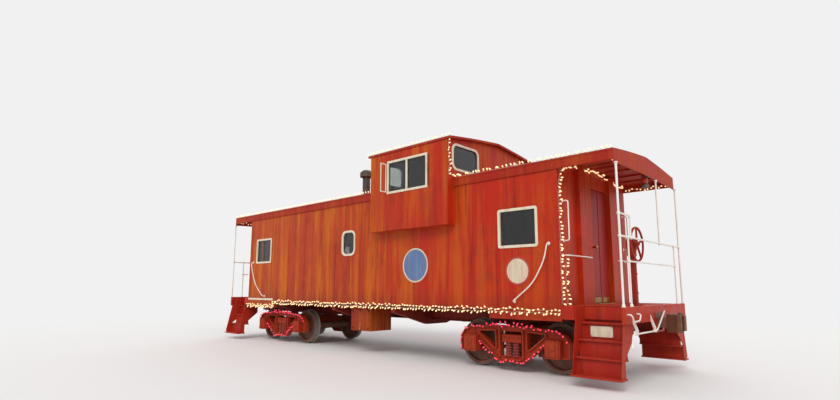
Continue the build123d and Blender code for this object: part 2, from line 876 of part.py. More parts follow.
# Cupola end walls, standing on the bay floors and closing down to the main roof
cupola_inner = cupola_half - cupola_wall
for end, x_outer, inward in (("a", cupola_x1, -1), ("b", cupola_x0, 1)):
    with BuildPart() as cupola_end:
        with BuildSketch(Plane.YZ.offset(x_outer)):
            with BuildLine():
                edge = cupola_z(cupola_inner) - cupola_roof_thickness - seat
                slopes(cupola_z, cupola_inner, cupola_roof_thickness + seat)
                Polyline(
                    (cupola_inner, edge),
                    (cupola_inner, bay_top),
                    (inner_half_width, bay_top),
                    (inner_half_width, cupola_header),
                    (-inner_half_width, cupola_header),
                    (-inner_half_width, bay_top),
                    (-cupola_inner, bay_top),
                    (-cupola_inner, edge),
                )
            make_face()
            with Locations((-end_window_y, end_window_z), (end_window_y, end_window_z)):
                RectangleRounded(
                    end_window_width + 2 * frame_sleeve,
                    end_window_height + 2 * frame_sleeve,
                    end_window_corner,
                    mode=Mode.SUBTRACT,
                )
        extrude(amount=inward * cupola_wall)
    save(cupola_end.part, f"cupola_end_{end}")

# Cupola roof
cupola_roof_half = cupola_half + cupola_roof_side
cupola_edge_z = cupola_z(cupola_roof_half)
with BuildPart() as cupola_roof:
    with BuildSketch(Plane.YZ.offset(cupola_x0 - cupola_roof_end)):
        with BuildLine():
            slopes(cupola_z, cupola_roof_half)
            Line(
                (cupola_roof_half, cupola_edge_z),
                (cupola_roof_half, cupola_edge_z - cupola_roof_thickness),
            )
            slopes(cupola_z, cupola_roof_half, cupola_roof_thickness)
            Line(
                (-cupola_roof_half, cupola_edge_z - cupola_roof_thickness),
                (-cupola_roof_half, cupola_edge_z),
            )
        make_face()
    extrude(amount=cupola_x1 - cupola_x0 + 2 * cupola_roof_end)
save(cupola_roof.part, "cupola_roof")

# Wind deflectors: one framed pane standing out beside each cupola window
deflector_out = cupola_half + deflector_depth
deflector_offset = cupola_window_width / 2 + frame_face + 30
with BuildPart() as deflectors:
    with BuildSketch(Plane.YZ.offset(cupola_middle - deflector_offset - deflector_plate / 2)):
        with Locations((-cupola_half - deflector_depth / 2, cupola_window_z)):
            Rectangle(deflector_depth, deflector_height)
            Rectangle(
                deflector_depth - 2 * deflector_bar,
                deflector_height - 2 * deflector_bar,
                mode=Mode.SUBTRACT,
            )
    extrude(amount=deflector_plate)
    mirror(about=Plane.XZ)
save(deflectors.part, "wind_deflectors")

# Smoke jack: a stove pipe with a skirt and a rain cap
jack_base = roof_z(jack_y) - 8
with BuildPart() as smoke_jack:
    with BuildSketch(Plane.XZ.offset(-jack_y)):
        with BuildLine():
            Polyline(
                (jack_x, jack_base + 40),
                (jack_x + jack_radius + 60, jack_base + 40),
                (jack_x + jack_radius + 12, jack_base + 90),
                (jack_x + jack_radius, jack_base + 95),
                (jack_x + jack_radius, jack_top - 190),
                (jack_x + jack_cap_radius, jack_top - 170),
                (jack_x + jack_cap_radius, jack_top - 60),
                (jack_x + jack_radius, jack_top),
                (jack_x, jack_top),
                close=True,
            )
        make_face()
    revolve(axis=Axis((jack_x, jack_y, 0), (0, 0, 1)))
    with BuildSketch(Plane.YZ.offset(jack_x - jack_radius - 60)):
        with BuildLine():
            ThreePointArc(
                (jack_y - 155, roof_z(jack_y - 155)),
                (jack_y, roof_z(jack_y)),
                (jack_y + 155, roof_z(jack_y + 155)),
            )
            Polyline(
                (jack_y + 155, roof_z(jack_y + 155)),
                (jack_y + 155, jack_base + 70),
                (jack_y - 155, jack_base + 70),
                (jack_y - 155, roof_z(jack_y - 155)),
            )
        make_face()
    extrude(amount=2 * (jack_radius + 60))
save(smoke_jack.part, "smoke_jack")

# Platform: deck plate, stair wells, risers and the end sill with its coupler opening
deck_side = end_sill_half - 18
deck_outline = [
    (half_length, deck_side),
    (step_well_x, deck_side),
    (step_well_x, step_well_y),
    (platform_end, step_well_y),
    (platform_end, 0),
    (half_length, 0),
]
# Skirts hanging from the deck's edges: low x, high x, low y, high y
deck_skirts = [
    (step_well_x - skirt_plate, platform_end, step_well_y - skirt_plate, step_well_y),
    (step_well_x - skirt_plate, step_well_x, step_well_y - skirt_plate, deck_side),
    (half_length, step_well_x, deck_side - skirt_plate, deck_side),
]
with BuildPart() as platform:
    with BuildSketch(Plane.XY.offset(platform_top - deck_plate)):
        with BuildLine():
            Polyline(*deck_outline, close=True)
        make_face()
        mirror(about=Plane.XZ)
    extrude(amount=deck_plate)
    with BuildSketch(Plane.XY.offset(platform_top - skirt_depth)):
        for x_low, x_high, y_low, y_high in deck_skirts:
            with Locations(((x_low + x_high) / 2, (y_low + y_high) / 2)):
                Rectangle(x_high - x_low, y_high - y_low)
        mirror(about=Plane.XZ)
    extrude(amount=skirt_depth - deck_plate)
    with BuildSketch(Plane.XY.offset(floor_bottom)):
        with Locations(((half_length + platform_end) / 2, 0)):
            Rectangle(platform_end - half_length, 500)
            Rectangle(platform_end - half_length - 80, 420, mode=Mode.SUBTRACT)
    extrude(amount=platform_top - deck_plate - floor_bottom)
    with BuildSketch(Plane.YZ.offset(platform_end)):
        with Locations((0, platform_top - end_sill_depth / 2)):
            Rectangle(2 * end_sill_half, end_sill_depth)
        with Locations((0, coupler_z - 20)):
            Rectangle(centre_sill_width + 80, 260)
            Rectangle(shank_width + 90, 200, mode=Mode.SUBTRACT)
    extrude(amount=end_sill)

# Steps: four treads between two stringers, one stair at each side of the platform
nosings = [(-step_well_y - step_run * (k + 1), platform_top - step_rise * (k + 1)) for k in range(step_count)]
bottom_y, bottom_z = nosings[-1]
stringer_outline = [
    (-step_well_y, platform_top - deck_plate),
    (-step_well_y - 280, platform_top - deck_plate),
    (-step_well_y - 320, platform_top - 175),
    (bottom_y + 20, bottom_z),
    (bottom_y + tread_depth - 10, bottom_z),
    (bottom_y + tread_depth - 10, bottom_z + step_rise),
    (-step_well_y + 60, platform_top - 2 * step_rise + 60),
    (-step_well_y + 60, platform_top - 215),
    (-step_well_y, platform_top - 215),
]
well_length = platform_end - step_well_x
with BuildPart() as steps:
    for x in (step_well_x, platform_end - stringer):
        with BuildSketch(Plane.YZ.offset(x)):
            with BuildLine():
                Polyline(*stringer_outline, close=True)
            make_face()
        extrude(amount=stringer)
    with BuildSketch(Plane.YZ.offset(step_well_x + stringer)):
        for y, z in nosings[:-1]:
            with Locations((y + tread_depth / 2, z - tread_plate / 2)):
                Rectangle(tread_depth, tread_plate)
        for y, z in nosings:
            with Locations((y + step_run + riser_set_back + riser_plate / 2, z + (step_rise - tread_plate) / 2)):
                Rectangle(riser_plate, step_rise - tread_plate)
    extrude(amount=well_length - 2 * stringer)
    with BuildSketch(Plane.XY.offset(bottom_z - tread_plate)):
        with Locations(((step_well_x + platform_end) / 2, bottom_y + tread_depth / 2 - 10)):
            Rectangle(well_length + 2 * bottom_tread_lip, tread_depth + 20)
    extrude(amount=tread_plate)
    mirror(about=Plane.XZ)

# End railing: corner stanchions, rails, canopy rod and the raised hand hold
rail_top = roof_end_bottom
rail_bars = [
    round_bar([(rail_x, -rail_post_y, platform_top), (rail_x, -rail_post_y, rail_top)], rail_bar, 0),
    round_bar([(rail_x, rail_post_y, platform_top), (rail_x, rail_post_y, rail_top)], rail_bar, 0),
    round_bar([(rail_x, -rail_inner_y, platform_top), (rail_x, -rail_inner_y, top_rail_z)], post_bar, 0),
    round_bar([(rail_x, rail_inner_y, platform_top), (rail_x, rail_inner_y, top_rail_z)], post_bar, 0),
    round_bar([(rail_x, -rail_post_y, top_rail_z), (rail_x, rail_post_y, top_rail_z)], post_bar + 1, 0),
    round_bar([(rail_x, -rail_inner_y, mid_rail_z), (rail_x, rail_inner_y, mid_rail_z)], post_bar - 1, 0),
    round_bar([(rail_x, canopy_rod_y, top_rail_z), (rail_x, canopy_rod_y, rail_top)], post_bar, 0),
    round_bar(
        [
            (rail_x, -rail_post_y, top_rail_z + hand_hold_height),
            (rail_x, -rail_post_y + hand_hold_length, top_rail_z + hand_hold_height),
            (rail_x, -rail_post_y + hand_hold_length, top_rail_z),
        ],
        post_bar,
        60,
    ),
]
with BuildPart() as end_railing:
    for bar in rail_bars:
        add(bar)

for end, turn in ends:
    save(platform.part.rotate(Axis.Z, turn), f"platform_{end}")
    save(steps.part.rotate(Axis.Z, turn), f"steps_{end}")
    save(end_railing.part.rotate(Axis.Z, turn), f"end_railing_{end}")

# Brake stands: a column, a gear case and a spoked hand wheel at each end
stand_x = rail_x - brake_stand_gap
with BuildPart() as brake_stand:
    with BuildSketch(Plane.XY.offset(platform_top)):
        with Locations((stand_x, brake_stand_y)):
            Rectangle(160, 160)
    extrude(amount=14)
    with BuildSketch(Plane.XY.offset(platform_top + 14)):
        with Locations((stand_x, brake_stand_y)):
            Rectangle(90, 60)
    extrude(amount=brake_wheel_z - platform_top - 114)
    with BuildSketch(Plane.YZ.offset(stand_x - 60)):
        with Locations((brake_stand_y, brake_wheel_z)):
            Circle(105)
        with Locations((brake_stand_y, brake_wheel_z - 110)):
            Rectangle(150, 150)
    extrude(amount=100)
    with BuildSketch(Plane.YZ.offset(stand_x + 40)):
        with Locations((brake_stand_y, brake_wheel_z)):
            Circle(30)
    extrude(amount=50)
    with BuildSketch(Plane.YZ.offset(stand_x + 66)):
        with Locations((brake_stand_y, brake_wheel_z)):
            Circle(brake_wheel_radius)
            Circle(brake_wheel_radius - 2 * brake_rim_bar, mode=Mode.SUBTRACT)
            for angle in (0, 72, 144, 216, 288):
                with Locations(Location((0, 0, 0), angle + 90)):
                    with Locations((brake_wheel_radius / 2, 0)):
                        Rectangle(brake_wheel_radius - brake_rim_bar, 24)
    extrude(amount=2 * brake_rim_bar)
with BuildPart() as brake_stands:
    add(brake_stand.part)
    add(brake_stand.part.rotate(Axis.Z, 180))
save(brake_stands.part, "brake_stands")

# Couplers: shank, head and knuckle
shank_start = draft_gear_x + draft_gear_length / 2
face_x = end_face + coupler_reach
head_outline = [
    (face_x - 260, -shank_width / 2),
    (face_x - 180, -125),
    (face_x - 60, -205),
    (face_x + 10, -215),
    (face_x - 30, -120),
    (face_x - 110, -60),
    (face_x - 115, 30),
    (face_x - 70, 105),
    (face_x - 60, 170),
    (face_x - 160, 165),
    (face_x - 260, shank_width / 2),
]
knuckle_outline = [
    (face_x - 125, 60),
    (face_x - 110, 0),
    (face_x - 40, 10),
    (face_x - 5, -20),
    (face_x, 40),
    (face_x - 15, 130),
    (face_x - 60, 170),
]
with BuildPart() as coupler:
    with BuildSketch(Plane.YZ.offset(shank_start)):
        with Locations((0, coupler_z)):
            Rectangle(shank_width, shank_height)
    extrude(amount=face_x - 230 - shank_start)
    with BuildSketch(Plane.XY.offset(coupler_z - head_height / 2)):
        with BuildLine():
            FilletPolyline(*head_outline, radius=coupler_corner, close=True)
        make_face()
    extrude(amount=head_height)
    with BuildSketch(Plane.XY.offset(coupler_z - head_height / 2 + 20)):
        with BuildLine():
            FilletPolyline(*knuckle_outline, radius=coupler_corner, close=True)
        make_face()
    extrude(amount=head_height - 40)
with BuildPart() as couplers:
    add(coupler.part)
    add(coupler.part.rotate(Axis.Z, 180))
save(couplers.part, "couplers")

# Uncoupling levers: a bent rod carried by two brackets on each end sill
lever_x = end_face + 55
lever_rod = round_bar(
    [
        (lever_x, -end_sill_half + 20, lever_z - 190),
        (lever_x, -end_sill_half + 90, lever_z),
        (lever_x, -330, lever_z),
        (lever_x + 110, -270, coupler_z + head_height / 2 + 60),
    ],
    lever_radius,
    50,
)
with BuildPart() as lever:
    add(lever_rod)
    for y in (-1180, -420):
        with BuildSketch(Plane.XZ.offset(-y)):
            with BuildLine():
                Polyline(
                    (end_face, platform_top - end_sill_depth + 110),
                    (end_face, platform_top - end_sill_depth + 10),
                    (lever_x - 20, lever_z + 40),
                    (lever_x - 20, lever_z - 20),
                    (lever_x + 20, lever_z - 20),
                    (lever_x + 20, lever_z + 50),
                    close=True,
                )
            make_face()
        extrude(amount=14)
with BuildPart() as levers:
    add(lever.part)
    add(lever.part.rotate(Axis.Z, 180))
save(levers.part, "uncoupling_levers")

# Grab irons: curved rails at the side's ends, uprights and cross bars on the end walls,
# and a hanging loop on the end sill
side_y = -half_width
out_y = side_y - grab_stand_off
wall_x = half_length
out_x = wall_x + post_depth + grab_bar + 15
side_grab_top = platform_top + 990
side_grab_foot = platform_top + 51
side_grab = [
    (wall_x - 185, side_y, side_grab_top),
    (wall_x - 185, out_y, side_grab_top),
    (wall_x - 240, out_y, side_grab_top - 260),
    (wall_x - 460, out_y, side_grab_top - 640),
    (wall_x - 853, out_y, side_grab_foot),
    (wall_x - 853, side_y, side_grab_foot),
]
side_grab_bends = [grab_bend, 900, 900, grab_bend]
upright_low = platform_top + 1035
upright_high = platform_top + 1690
upright_y = half_width - 162
upright = [
    (wall_x, upright_y, upright_low),
    (out_x, upright_y, upright_low),
    (out_x, upright_y, upright_high),
    (wall_x, upright_y, upright_high),
]
cross_z = platform_top + 795
cross_near = [
    (wall_x, -half_width + 122, cross_z),
    (out_x, -half_width + 122, cross_z),
    (out_x, -post_inner_y + 130, cross_z),
    (wall_x, -post_inner_y + 130, cross_z),
]
cross_far = [
    (wall_x, half_width - 122, cross_z),
    (out_x, half_width - 122, cross_z),
    (out_x, post_inner_y + post_width + 50, cross_z),
    (wall_x, post_inner_y + post_width + 50, cross_z),
]
loop_x = end_face + grab_stand_off
loop_top = platform_top - 105
sill_loop = [
    (end_face, -end_sill_half + 60, loop_top),
    (loop_x, -end_sill_half + 60, loop_top),
    (loop_x, -end_sill_half + 150, loop_top - 105),
    (loop_x, -end_sill_half + 370, loop_top - 95),
    (loop_x, -end_sill_half + 430, loop_top),
    (end_face, -end_sill_half + 430, loop_top),
]
grab_routes = [
    (side_grab, side_grab_bends),
    ([(x, -y, z) for x, y, z in side_grab], side_grab_bends),
    (upright, grab_bend),
    ([(x, -y, z) for x, y, z in upright], grab_bend),
    (cross_near, grab_bend),
    (cross_far, grab_bend),
    (sill_loop, grab_bend),
]
with BuildPart() as grab_irons:
    for route, bends in grab_routes:
        add(round_bar(route, grab_bar, bends))
with BuildPart() as all_grab_irons:
    add(grab_irons.part)
    add(grab_irons.part.rotate(Axis.Z, 180))
save(all_grab_irons.part, "grab_irons")

# Tool box hung under the floor
box_lid = floor_bottom - side_sill_depth
with BuildPart() as tool_box:
    with BuildSketch(Plane.XY.offset(tool_box_bottom)):
        with Locations(((tool_box_x0 + tool_box_x1) / 2, (tool_box_y0 + tool_box_y1) / 2)):
            Rectangle(tool_box_x1 - tool_box_x0, tool_box_y1 - tool_box_y0)
    extrude(amount=box_lid - tool_box_bottom)
save(tool_box.part, "tool_box")

# Brake cylinder and air reservoir on hangers under the floor
with BuildPart() as brake_gear:
    for x, y, radius, length in ((-1650, 520, 150, 420), (1800, 560, 210, 900)):
        z = 900
        with BuildSketch(Plane.YZ.offset(x - length / 2)):
            with Locations((y, z)):
                Circle(radius)
        extrude(amount=length)
        for hanger in (x - length / 3, x + length / 3):
            with BuildSketch(Plane.YZ.offset(hanger - 20)):
                with Locations((y, (z + floor_bottom) / 2)):
                    Rectangle(radius, floor_bottom - z)
            extrude(amount=40)
save(brake_gear.part, "brake_gear")

# Cabin furniture: benches at the B end, a desk at the A end and the cupola's seat lockers
bench_side = inner_half_width - locker_gap
seat_outline = [
    (cupola_x0 + 147, floor_top),
    (cupola_x0 + 147, bay_bottom + bay_floor + seat_back_rise),
    (cupola_x0 + 147 + seat_back, bay_bottom + bay_floor + seat_back_rise),
    (cupola_x0 + 207 + seat_back, bay_bottom + bay_floor + seat_rise),
    (cupola_x0 + 207 + seat_back + seat_depth, bay_bottom + bay_floor + seat_rise),
    (cupola_x0 + 207 + seat_back + seat_depth, bay_bottom + bay_floor),
    (cupola_middle, bay_bottom + bay_floor),
    (cupola_middle, floor_top),
]
with BuildPart() as furniture:
    with BuildSketch(Plane.XY.offset(floor_top)):
        with Locations((-half_length + wall + locker_gap + bench_length / 2, bench_depth / 2 - bench_side)):
            Rectangle(bench_length, bench_depth)
        with Locations((-half_length + wall + locker_gap + bench_length / 2, bench_side - bench_depth / 2)):
            Rectangle(bench_length, bench_depth)
    extrude(amount=bench_height)
    with BuildSketch(Plane.XY.offset(floor_top)):
        with Locations((cupola_x1 + 500 + desk_length / 2, bench_side - desk_depth / 2)):
            Rectangle(desk_length, desk_depth)
    extrude(amount=desk_height)
    for y in (-bench_side + 700, bench_side):
        with BuildSketch(Plane.XZ.offset(-y)):
            with BuildLine():
                Polyline(*seat_outline, close=True)
            make_face()
            mirror(about=Plane.YZ.offset(cupola_middle))
        extrude(amount=700)
save(furniture.part, "cabin_furniture")

# Stove: a round body on a hearth, with its pipe up to the roof under the smoke jack
pipe_top = roof_z(jack_y - stove_pipe_radius) - roof_thickness - seat
with BuildPart() as stove:
    with BuildSketch(Plane.XY.offset(floor_top)):
        with Locations((jack_x, jack_y)):
            Rectangle(2 * stove_radius + 160, 2 * stove_radius + 160)
    extrude(amount=30)
    with BuildSketch(Plane.XY.offset(floor_top + 30)):
        with Locations((jack_x, jack_y)):
            Circle(stove_radius)
    extrude(amount=stove_height)
    with BuildSketch(Plane.XY.offset(floor_top + 30 + stove_height)):
        with Locations((jack_x, jack_y)):
            Circle(stove_pipe_radius)
    extrude(amount=pipe_top - floor_top - 30 - stove_height)
save(stove.part, "stove")
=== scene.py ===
import json
from math import cos, pi, sin, sqrt
from random import Random
import bmesh
import bpy
from mathutils import Matrix, Vector


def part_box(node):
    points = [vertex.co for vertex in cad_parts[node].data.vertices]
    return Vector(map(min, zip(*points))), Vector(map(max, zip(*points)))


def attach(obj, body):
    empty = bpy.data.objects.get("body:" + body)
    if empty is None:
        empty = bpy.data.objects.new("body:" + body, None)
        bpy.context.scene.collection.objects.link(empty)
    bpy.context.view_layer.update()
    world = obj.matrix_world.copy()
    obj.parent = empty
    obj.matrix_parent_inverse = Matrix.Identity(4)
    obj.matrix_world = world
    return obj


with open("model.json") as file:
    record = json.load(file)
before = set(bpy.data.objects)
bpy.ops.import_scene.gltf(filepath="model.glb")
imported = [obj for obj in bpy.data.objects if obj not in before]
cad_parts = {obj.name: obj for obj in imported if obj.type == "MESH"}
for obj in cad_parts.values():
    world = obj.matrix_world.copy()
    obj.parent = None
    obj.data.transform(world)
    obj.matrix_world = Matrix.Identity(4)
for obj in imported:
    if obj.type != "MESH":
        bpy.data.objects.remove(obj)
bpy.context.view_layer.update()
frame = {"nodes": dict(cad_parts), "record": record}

NODES = frame["nodes"]

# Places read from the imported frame, in metres
WALL_LO, WALL_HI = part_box("side_wall_near")
HALF_LENGTH = WALL_HI.x
FLOOR_LO, FLOOR_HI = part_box("floor")
FLOOR_TOP = FLOOR_HI.z
ROOF_LO, ROOF_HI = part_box("roof_a")
ROOF_CROWN = ROOF_HI.z
ROOF_SIDE = ROOF_HI.y
ROOF_END = ROOF_HI.x
CUPOLA_LO, CUPOLA_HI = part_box("cupola_side_near")
CUPOLA_SIDE = -CUPOLA_LO.y
CUPOLA_ROOF_LO, CUPOLA_ROOF_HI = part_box("cupola_roof")
DECK_LO, DECK_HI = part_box("platform_a")
DECK_TOP = DECK_HI.z
SILL_FACE = DECK_HI.x
TANK_LO, TANK_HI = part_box("tool_box")

# Measures of the part that no box gives, and what follows from them
BATTEN_PROUD = 0.005
SIDE_Y = -WALL_LO.y - BATTEN_PROUD
ROOF_PITCH = 0.06
ROOF_RADIUS = 23.0
CUPOLA_PITCH = 0.085
CUPOLA_RADIUS = 28.0
WALL = 0.07
TRUCK_X = 3.674
AXLE_OFFSET = 0.838
AXLE_Z = 0.4444
SILL_LINE = FLOOR_LO.z - 0.036
DEEP_SILL_LINE = FLOOR_LO.z - 0.19
DEEP_SILL_START = HALF_LENGTH - 1.37


def slope_z(crown, pitch, radius, y):
    """Height of a slightly peaked roof at a distance y from its ridge."""
    lean = radius * pitch / sqrt(1 + pitch**2)
    return crown + sqrt(radius**2 - (abs(y) + lean) ** 2) - sqrt(radius**2 - lean**2)


def roof_z(y):
    return slope_z(ROOF_CROWN, ROOF_PITCH, ROOF_RADIUS, y)


def cupola_z(y):
    return slope_z(CUPOLA_ROOF_HI.z, CUPOLA_PITCH, CUPOLA_RADIUS, y)


# Materials
class Finish:
    """A node material on the Principled shader, patterned in the row frame's metres."""

    def __init__(self, name, colour, roughness=0.5, **sockets):
        self.material = bpy.data.materials.new(name)
        self.material.use_nodes = True
        self.tree = self.material.node_tree
        self.shader = self.tree.nodes["Principled BSDF"]
        self.shader.inputs["Base Color"].default_value = (*colour, 1)
        self.shader.inputs["Roughness"].default_value = roughness
        for socket, value in sockets.items():
            self.shader.inputs[socket.replace("_", " ")].default_value = value
        self.place = self.add("ShaderNodeTexCoord").outputs["Object"]
        axes = self.add("ShaderNodeSeparateXYZ")
        self.feed(self.place, axes.inputs[0])
        self.x, self.y, self.z = axes.outputs
        self.away = self.math("ABSOLUTE", self.y)

    def add(self, kind, **settings):
        node = self.tree.nodes.new(kind)
        for key, value in settings.items():
            setattr(node, key, value)
        return node

    def feed(self, value, socket):
        """Links an output to a socket, or sets a plain number or colour on it."""
        if isinstance(value, bpy.types.NodeSocket):
            self.tree.links.new(value, socket)
        elif isinstance(value, tuple):
            socket.default_value = (*value, 1)
        else:
            socket.default_value = value

    def noise(self, scale, detail=4, roughness=0.55, stretch=(1, 1, 1), distortion=0):
        """Noise from 0 to 1, with a number of features per metre along each axis."""
        mapping = self.add("ShaderNodeMapping")
        self.feed(self.place, mapping.inputs["Vector"])
        mapping.inputs["Scale"].default_value = stretch
        noise = self.add("ShaderNodeTexNoise")
        self.feed(mapping.outputs[0], noise.inputs["Vector"])
        settings = {"Scale": scale, "Detail": detail, "Roughness": roughness, "Distortion": distortion}
        for key, value in settings.items():
            noise.inputs[key].default_value = value
        return noise.outputs[0]

    def span(self, value, low, high, out_low=0, out_high=1):
        """Maps low..high smoothly to out_low..out_high."""
        node = self.add("ShaderNodeMapRange", interpolation_type="SMOOTHSTEP")
        for index, item in enumerate((value, low, high, out_low, out_high)):
            self.feed(item, node.inputs[index])
        return node.outputs[0]

    def math(self, operation, *values):
        node = self.add("ShaderNodeMath", operation=operation)
        for index, item in enumerate(values):
            self.feed(item, node.inputs[index])
        return node.outputs[0]

    def mix(self, factor, first, second):
        node = self.add("ShaderNodeMix", data_type="RGBA")
        self.feed(factor, node.inputs["Factor"])
        self.feed(first, node.inputs[6])
        self.feed(second, node.inputs[7])
        return node.outputs[2]

    def times(self, *values):
        product = values[0]
        for value in values[1:]:
            product = self.math("MULTIPLY", product, value)
        return product

    def colour(self, value):
        self.feed(value, self.shader.inputs["Base Color"])

    def over(self, factor, value):
        """Lays another colour over the present one."""
        self.colour(self.mix(factor, self.shader.inputs["Base Color"].links[0].from_socket, value))

    def length(self, a, b):
        return self.math("SQRT", self.math("ADD", self.math("POWER", a, 2), self.math("POWER", b, 2)))

    def rough(self, value):
        self.feed(value, self.shader.inputs["Roughness"])

    def bump(self, height, distance):
        node = self.add("ShaderNodeBump")
        node.inputs["Distance"].default_value = distance
        self.feed(height, node.inputs["Height"])
        last = self.shader.inputs["Normal"].links
        if last:
            self.feed(last[0].from_socket, node.inputs["Normal"])
        self.feed(node.outputs[0], self.shader.inputs["Normal"])

    def inside(self, low, high):
        """1 inside a box of the row frame, 0 outside it."""
        sides = []
        for axis, a, b in zip((self.x, self.y, self.z), low, high):
            sides.append(self.math("GREATER_THAN", axis, a))
            sides.append(self.math("LESS_THAN", axis, b))
        return self.times(*sides)

    def worn_edges(self, radius, low=0.03, high=0.25):
        """1 on sharp outer and inner edges, 0 on flat faces."""
        bevel = self.add("ShaderNodeBevel", samples=4)
        bevel.inputs["Radius"].default_value = radius
        flat = self.add("ShaderNodeNewGeometry").outputs["Normal"]
        node = self.add("ShaderNodeVectorMath", operation="DISTANCE")
        self.feed(bevel.outputs[0], node.inputs[0])
        self.feed(flat, node.inputs[1])
        return self.span(node.outputs["Value"], low, high)


def under_roof(finish, crown, pitch, radius):
    """1 below a peaked roof's upper face, 0 on that face and above it."""
    sag = finish.math(
        "ADD", finish.times(finish.away, pitch), finish.times(finish.away, finish.away, 0.5 / radius)
    )
    return finish.math("LESS_THAN", finish.math("ADD", finish.z, sag), crown - 0.025)


def cabin_interior(finish):
    """1 on faces that look into the cabin or the cupola."""
    cabin = finish.inside(
        (-HALF_LENGTH + WALL - 0.003, -SIDE_Y + WALL - 0.003, FLOOR_TOP - 0.05),
        (HALF_LENGTH - WALL + 0.003, SIDE_Y - WALL + 0.003, ROOF_CROWN),
    )
    cabin = finish.times(cabin, under_roof(finish, ROOF_CROWN, ROOF_PITCH, ROOF_RADIUS))
    cupola = finish.inside(
        (CUPOLA_LO.x + 0.045, -CUPOLA_SIDE + 0.045, CUPOLA_LO.z + 0.03),
        (CUPOLA_HI.x - 0.045, CUPOLA_SIDE - 0.045, CUPOLA_ROOF_HI.z),
    )
    cupola = finish.times(cupola, under_roof(finish, CUPOLA_ROOF_HI.z, CUPOLA_PITCH, CUPOLA_RADIUS))
    return finish.math("MAXIMUM", cabin, cupola)


def red_paint(name, clean, faded, dark, fade_amount, gloss, interior=False, painted_glow_and_mottle=False):
    """Old enamel on steel plate: faded in vertical streaks, darker dirt runs, rust at the bottom; on the
    body also a painted warm glow, paler and more orange towards the −X end.
    """
    paint = Finish(name, clean, gloss, Specular_IOR_Level=0.2)
    streaks = paint.noise(1.0, 8, 0.66, (3.4, 3.4, 0.2), 0.3)
    patches = paint.noise(0.55, 4, 0.6)
    speckle = paint.noise(38, 3, 0.7)
    fade = paint.times(
        paint.span(streaks, 0.43, 0.6), paint.span(patches, 0.32, 0.56, 0.25, 1), fade_amount
    )
    if painted_glow_and_mottle:
        # Painted light: the lamps' warm glow along the side, painted in as paint that grows paler and more
        # orange towards the −X end; the darker mottles after it are random tone.
        fade = paint.times(fade, paint.span(paint.x, 4.2, -0.5, 0.35, 1))
        clean = paint.mix(paint.span(paint.x, 3.6, -1.5), clean, (0.42, 0.04, 0.005))
        mottle = paint.noise(3.2, 7, 0.72, (1, 1, 0.55), 0.6)
        clean = paint.mix(paint.times(paint.span(mottle, 0.5, 0.62), 0.55), clean, (0.27, 0.018, 0.006))
    colour = paint.mix(fade, clean, faded)
    runs = paint.noise(1.0, 9, 0.72, (11, 11, 0.3), 0.2)
    dirt = paint.times(paint.span(runs, 0.52, 0.66), 0.6)
    colour = paint.mix(dirt, colour, dark)
    low_grime = paint.times(
        paint.span(paint.math("ADD", paint.z, paint.times(streaks, 0.5)), 1.75, 1.25), 0.4
    )
    colour = paint.mix(low_grime, colour, dark)
    chips = paint.times(paint.span(paint.noise(17, 6, 0.75), 0.67, 0.7), paint.span(patches, 0.5, 0.6))
    colour = paint.mix(chips, colour, (0.11, 0.035, 0.015))
    colour = paint.mix(paint.times(paint.span(speckle, 0.55, 0.75), 0.15), colour, faded)
    if interior:
        wall_paint = paint.mix(paint.span(patches, 0.35, 0.65), (0.5, 0.5, 0.4), (0.42, 0.41, 0.32))
        colour = paint.mix(cabin_interior(paint), colour, wall_paint)
    paint.colour(colour)
    dullness = paint.math("ADD", paint.times(fade, 0.5), speckle)
    paint.rough(paint.span(dullness, 0.2, 1.1, gloss, gloss + 0.28))
    paint.bump(paint.noise(130, 2), 0.0004)
    paint.bump(paint.noise(1.5, 2), 0.012)
    return paint


red = {}
red["body_red"] = red_paint(
    "body_paint", (0.45, 0.018, 0.004), (0.56, 0.13, 0.006), (0.15, 0.012, 0.005), 0.95, 0.34, True, True
)
red["roof_red"] = red_paint(
    "roof_paint", (0.34, 0.016, 0.006), (0.42, 0.06, 0.009), (0.12, 0.012, 0.006), 0.8, 0.45, True
)
for slot, *look in (
    ("step_red", "step_paint", (0.52, 0.02, 0.008), (0.58, 0.06, 0.014), (0.18, 0.014, 0.009), 0.5, 0.36),
    ("frame_red", "frame_paint", (0.3, 0.018, 0.009), (0.36, 0.05, 0.02), (0.1, 0.02, 0.014), 0.6, 0.5),
    ("truck_red", "truck_paint", (0.5, 0.04, 0.01), (0.58, 0.1, 0.02), (0.15, 0.018, 0.01), 0.5, 0.4),
    ("door_crimson", "door_paint", (0.3, 0.014, 0.014), (0.4, 0.03, 0.02), (0.1, 0.01, 0.01), 0.5, 0.3),
):
    red[slot] = red_paint(*look)

# Cast iron under the trucks' paint and steel under the steps', bare on worn edges
truck = red["truck_red"]
truck.bump(truck.noise(55, 5, 0.7), 0.0015)
edge = truck.times(truck.worn_edges(0.008), truck.span(truck.noise(9), 0.45, 0.6), 0.8)
truck.over(edge, (0.12, 0.03, 0.015))
steps = red["step_red"]
edge = steps.times(steps.worn_edges(0.006), steps.span(steps.noise(7), 0.4, 0.6), 0.7)
steps.over(edge, (0.2, 0.09, 0.05))


def pale_paint(name, clean, dirty, gloss):
    """Cream or white enamel on frames and hand rails, dirty in streaks and chipped to rust."""
    paint = Finish(name, clean, gloss)
    runs = paint.noise(1.0, 6, 0.65, (14, 14, 1.5))
    colour = paint.mix(paint.times(paint.span(runs, 0.4, 0.75), 0.7), clean, dirty)
    chips = paint.span(paint.noise(24, 5, 0.75), 0.68, 0.72)
    colour = paint.mix(chips, colour, (0.2, 0.07, 0.03))
    paint.colour(colour)
    paint.rough(paint.span(runs, 0.3, 0.8, gloss, gloss + 0.2))
    paint.bump(paint.noise(150, 2), 0.0004)
    return paint


red["cream_paint"] = pale_paint("cream_paint", (0.76, 0.68, 0.52), (0.5, 0.38, 0.24), 0.38)
red["white_paint"] = pale_paint("white_paint", (0.8, 0.77, 0.71), (0.55, 0.45, 0.36), 0.34)

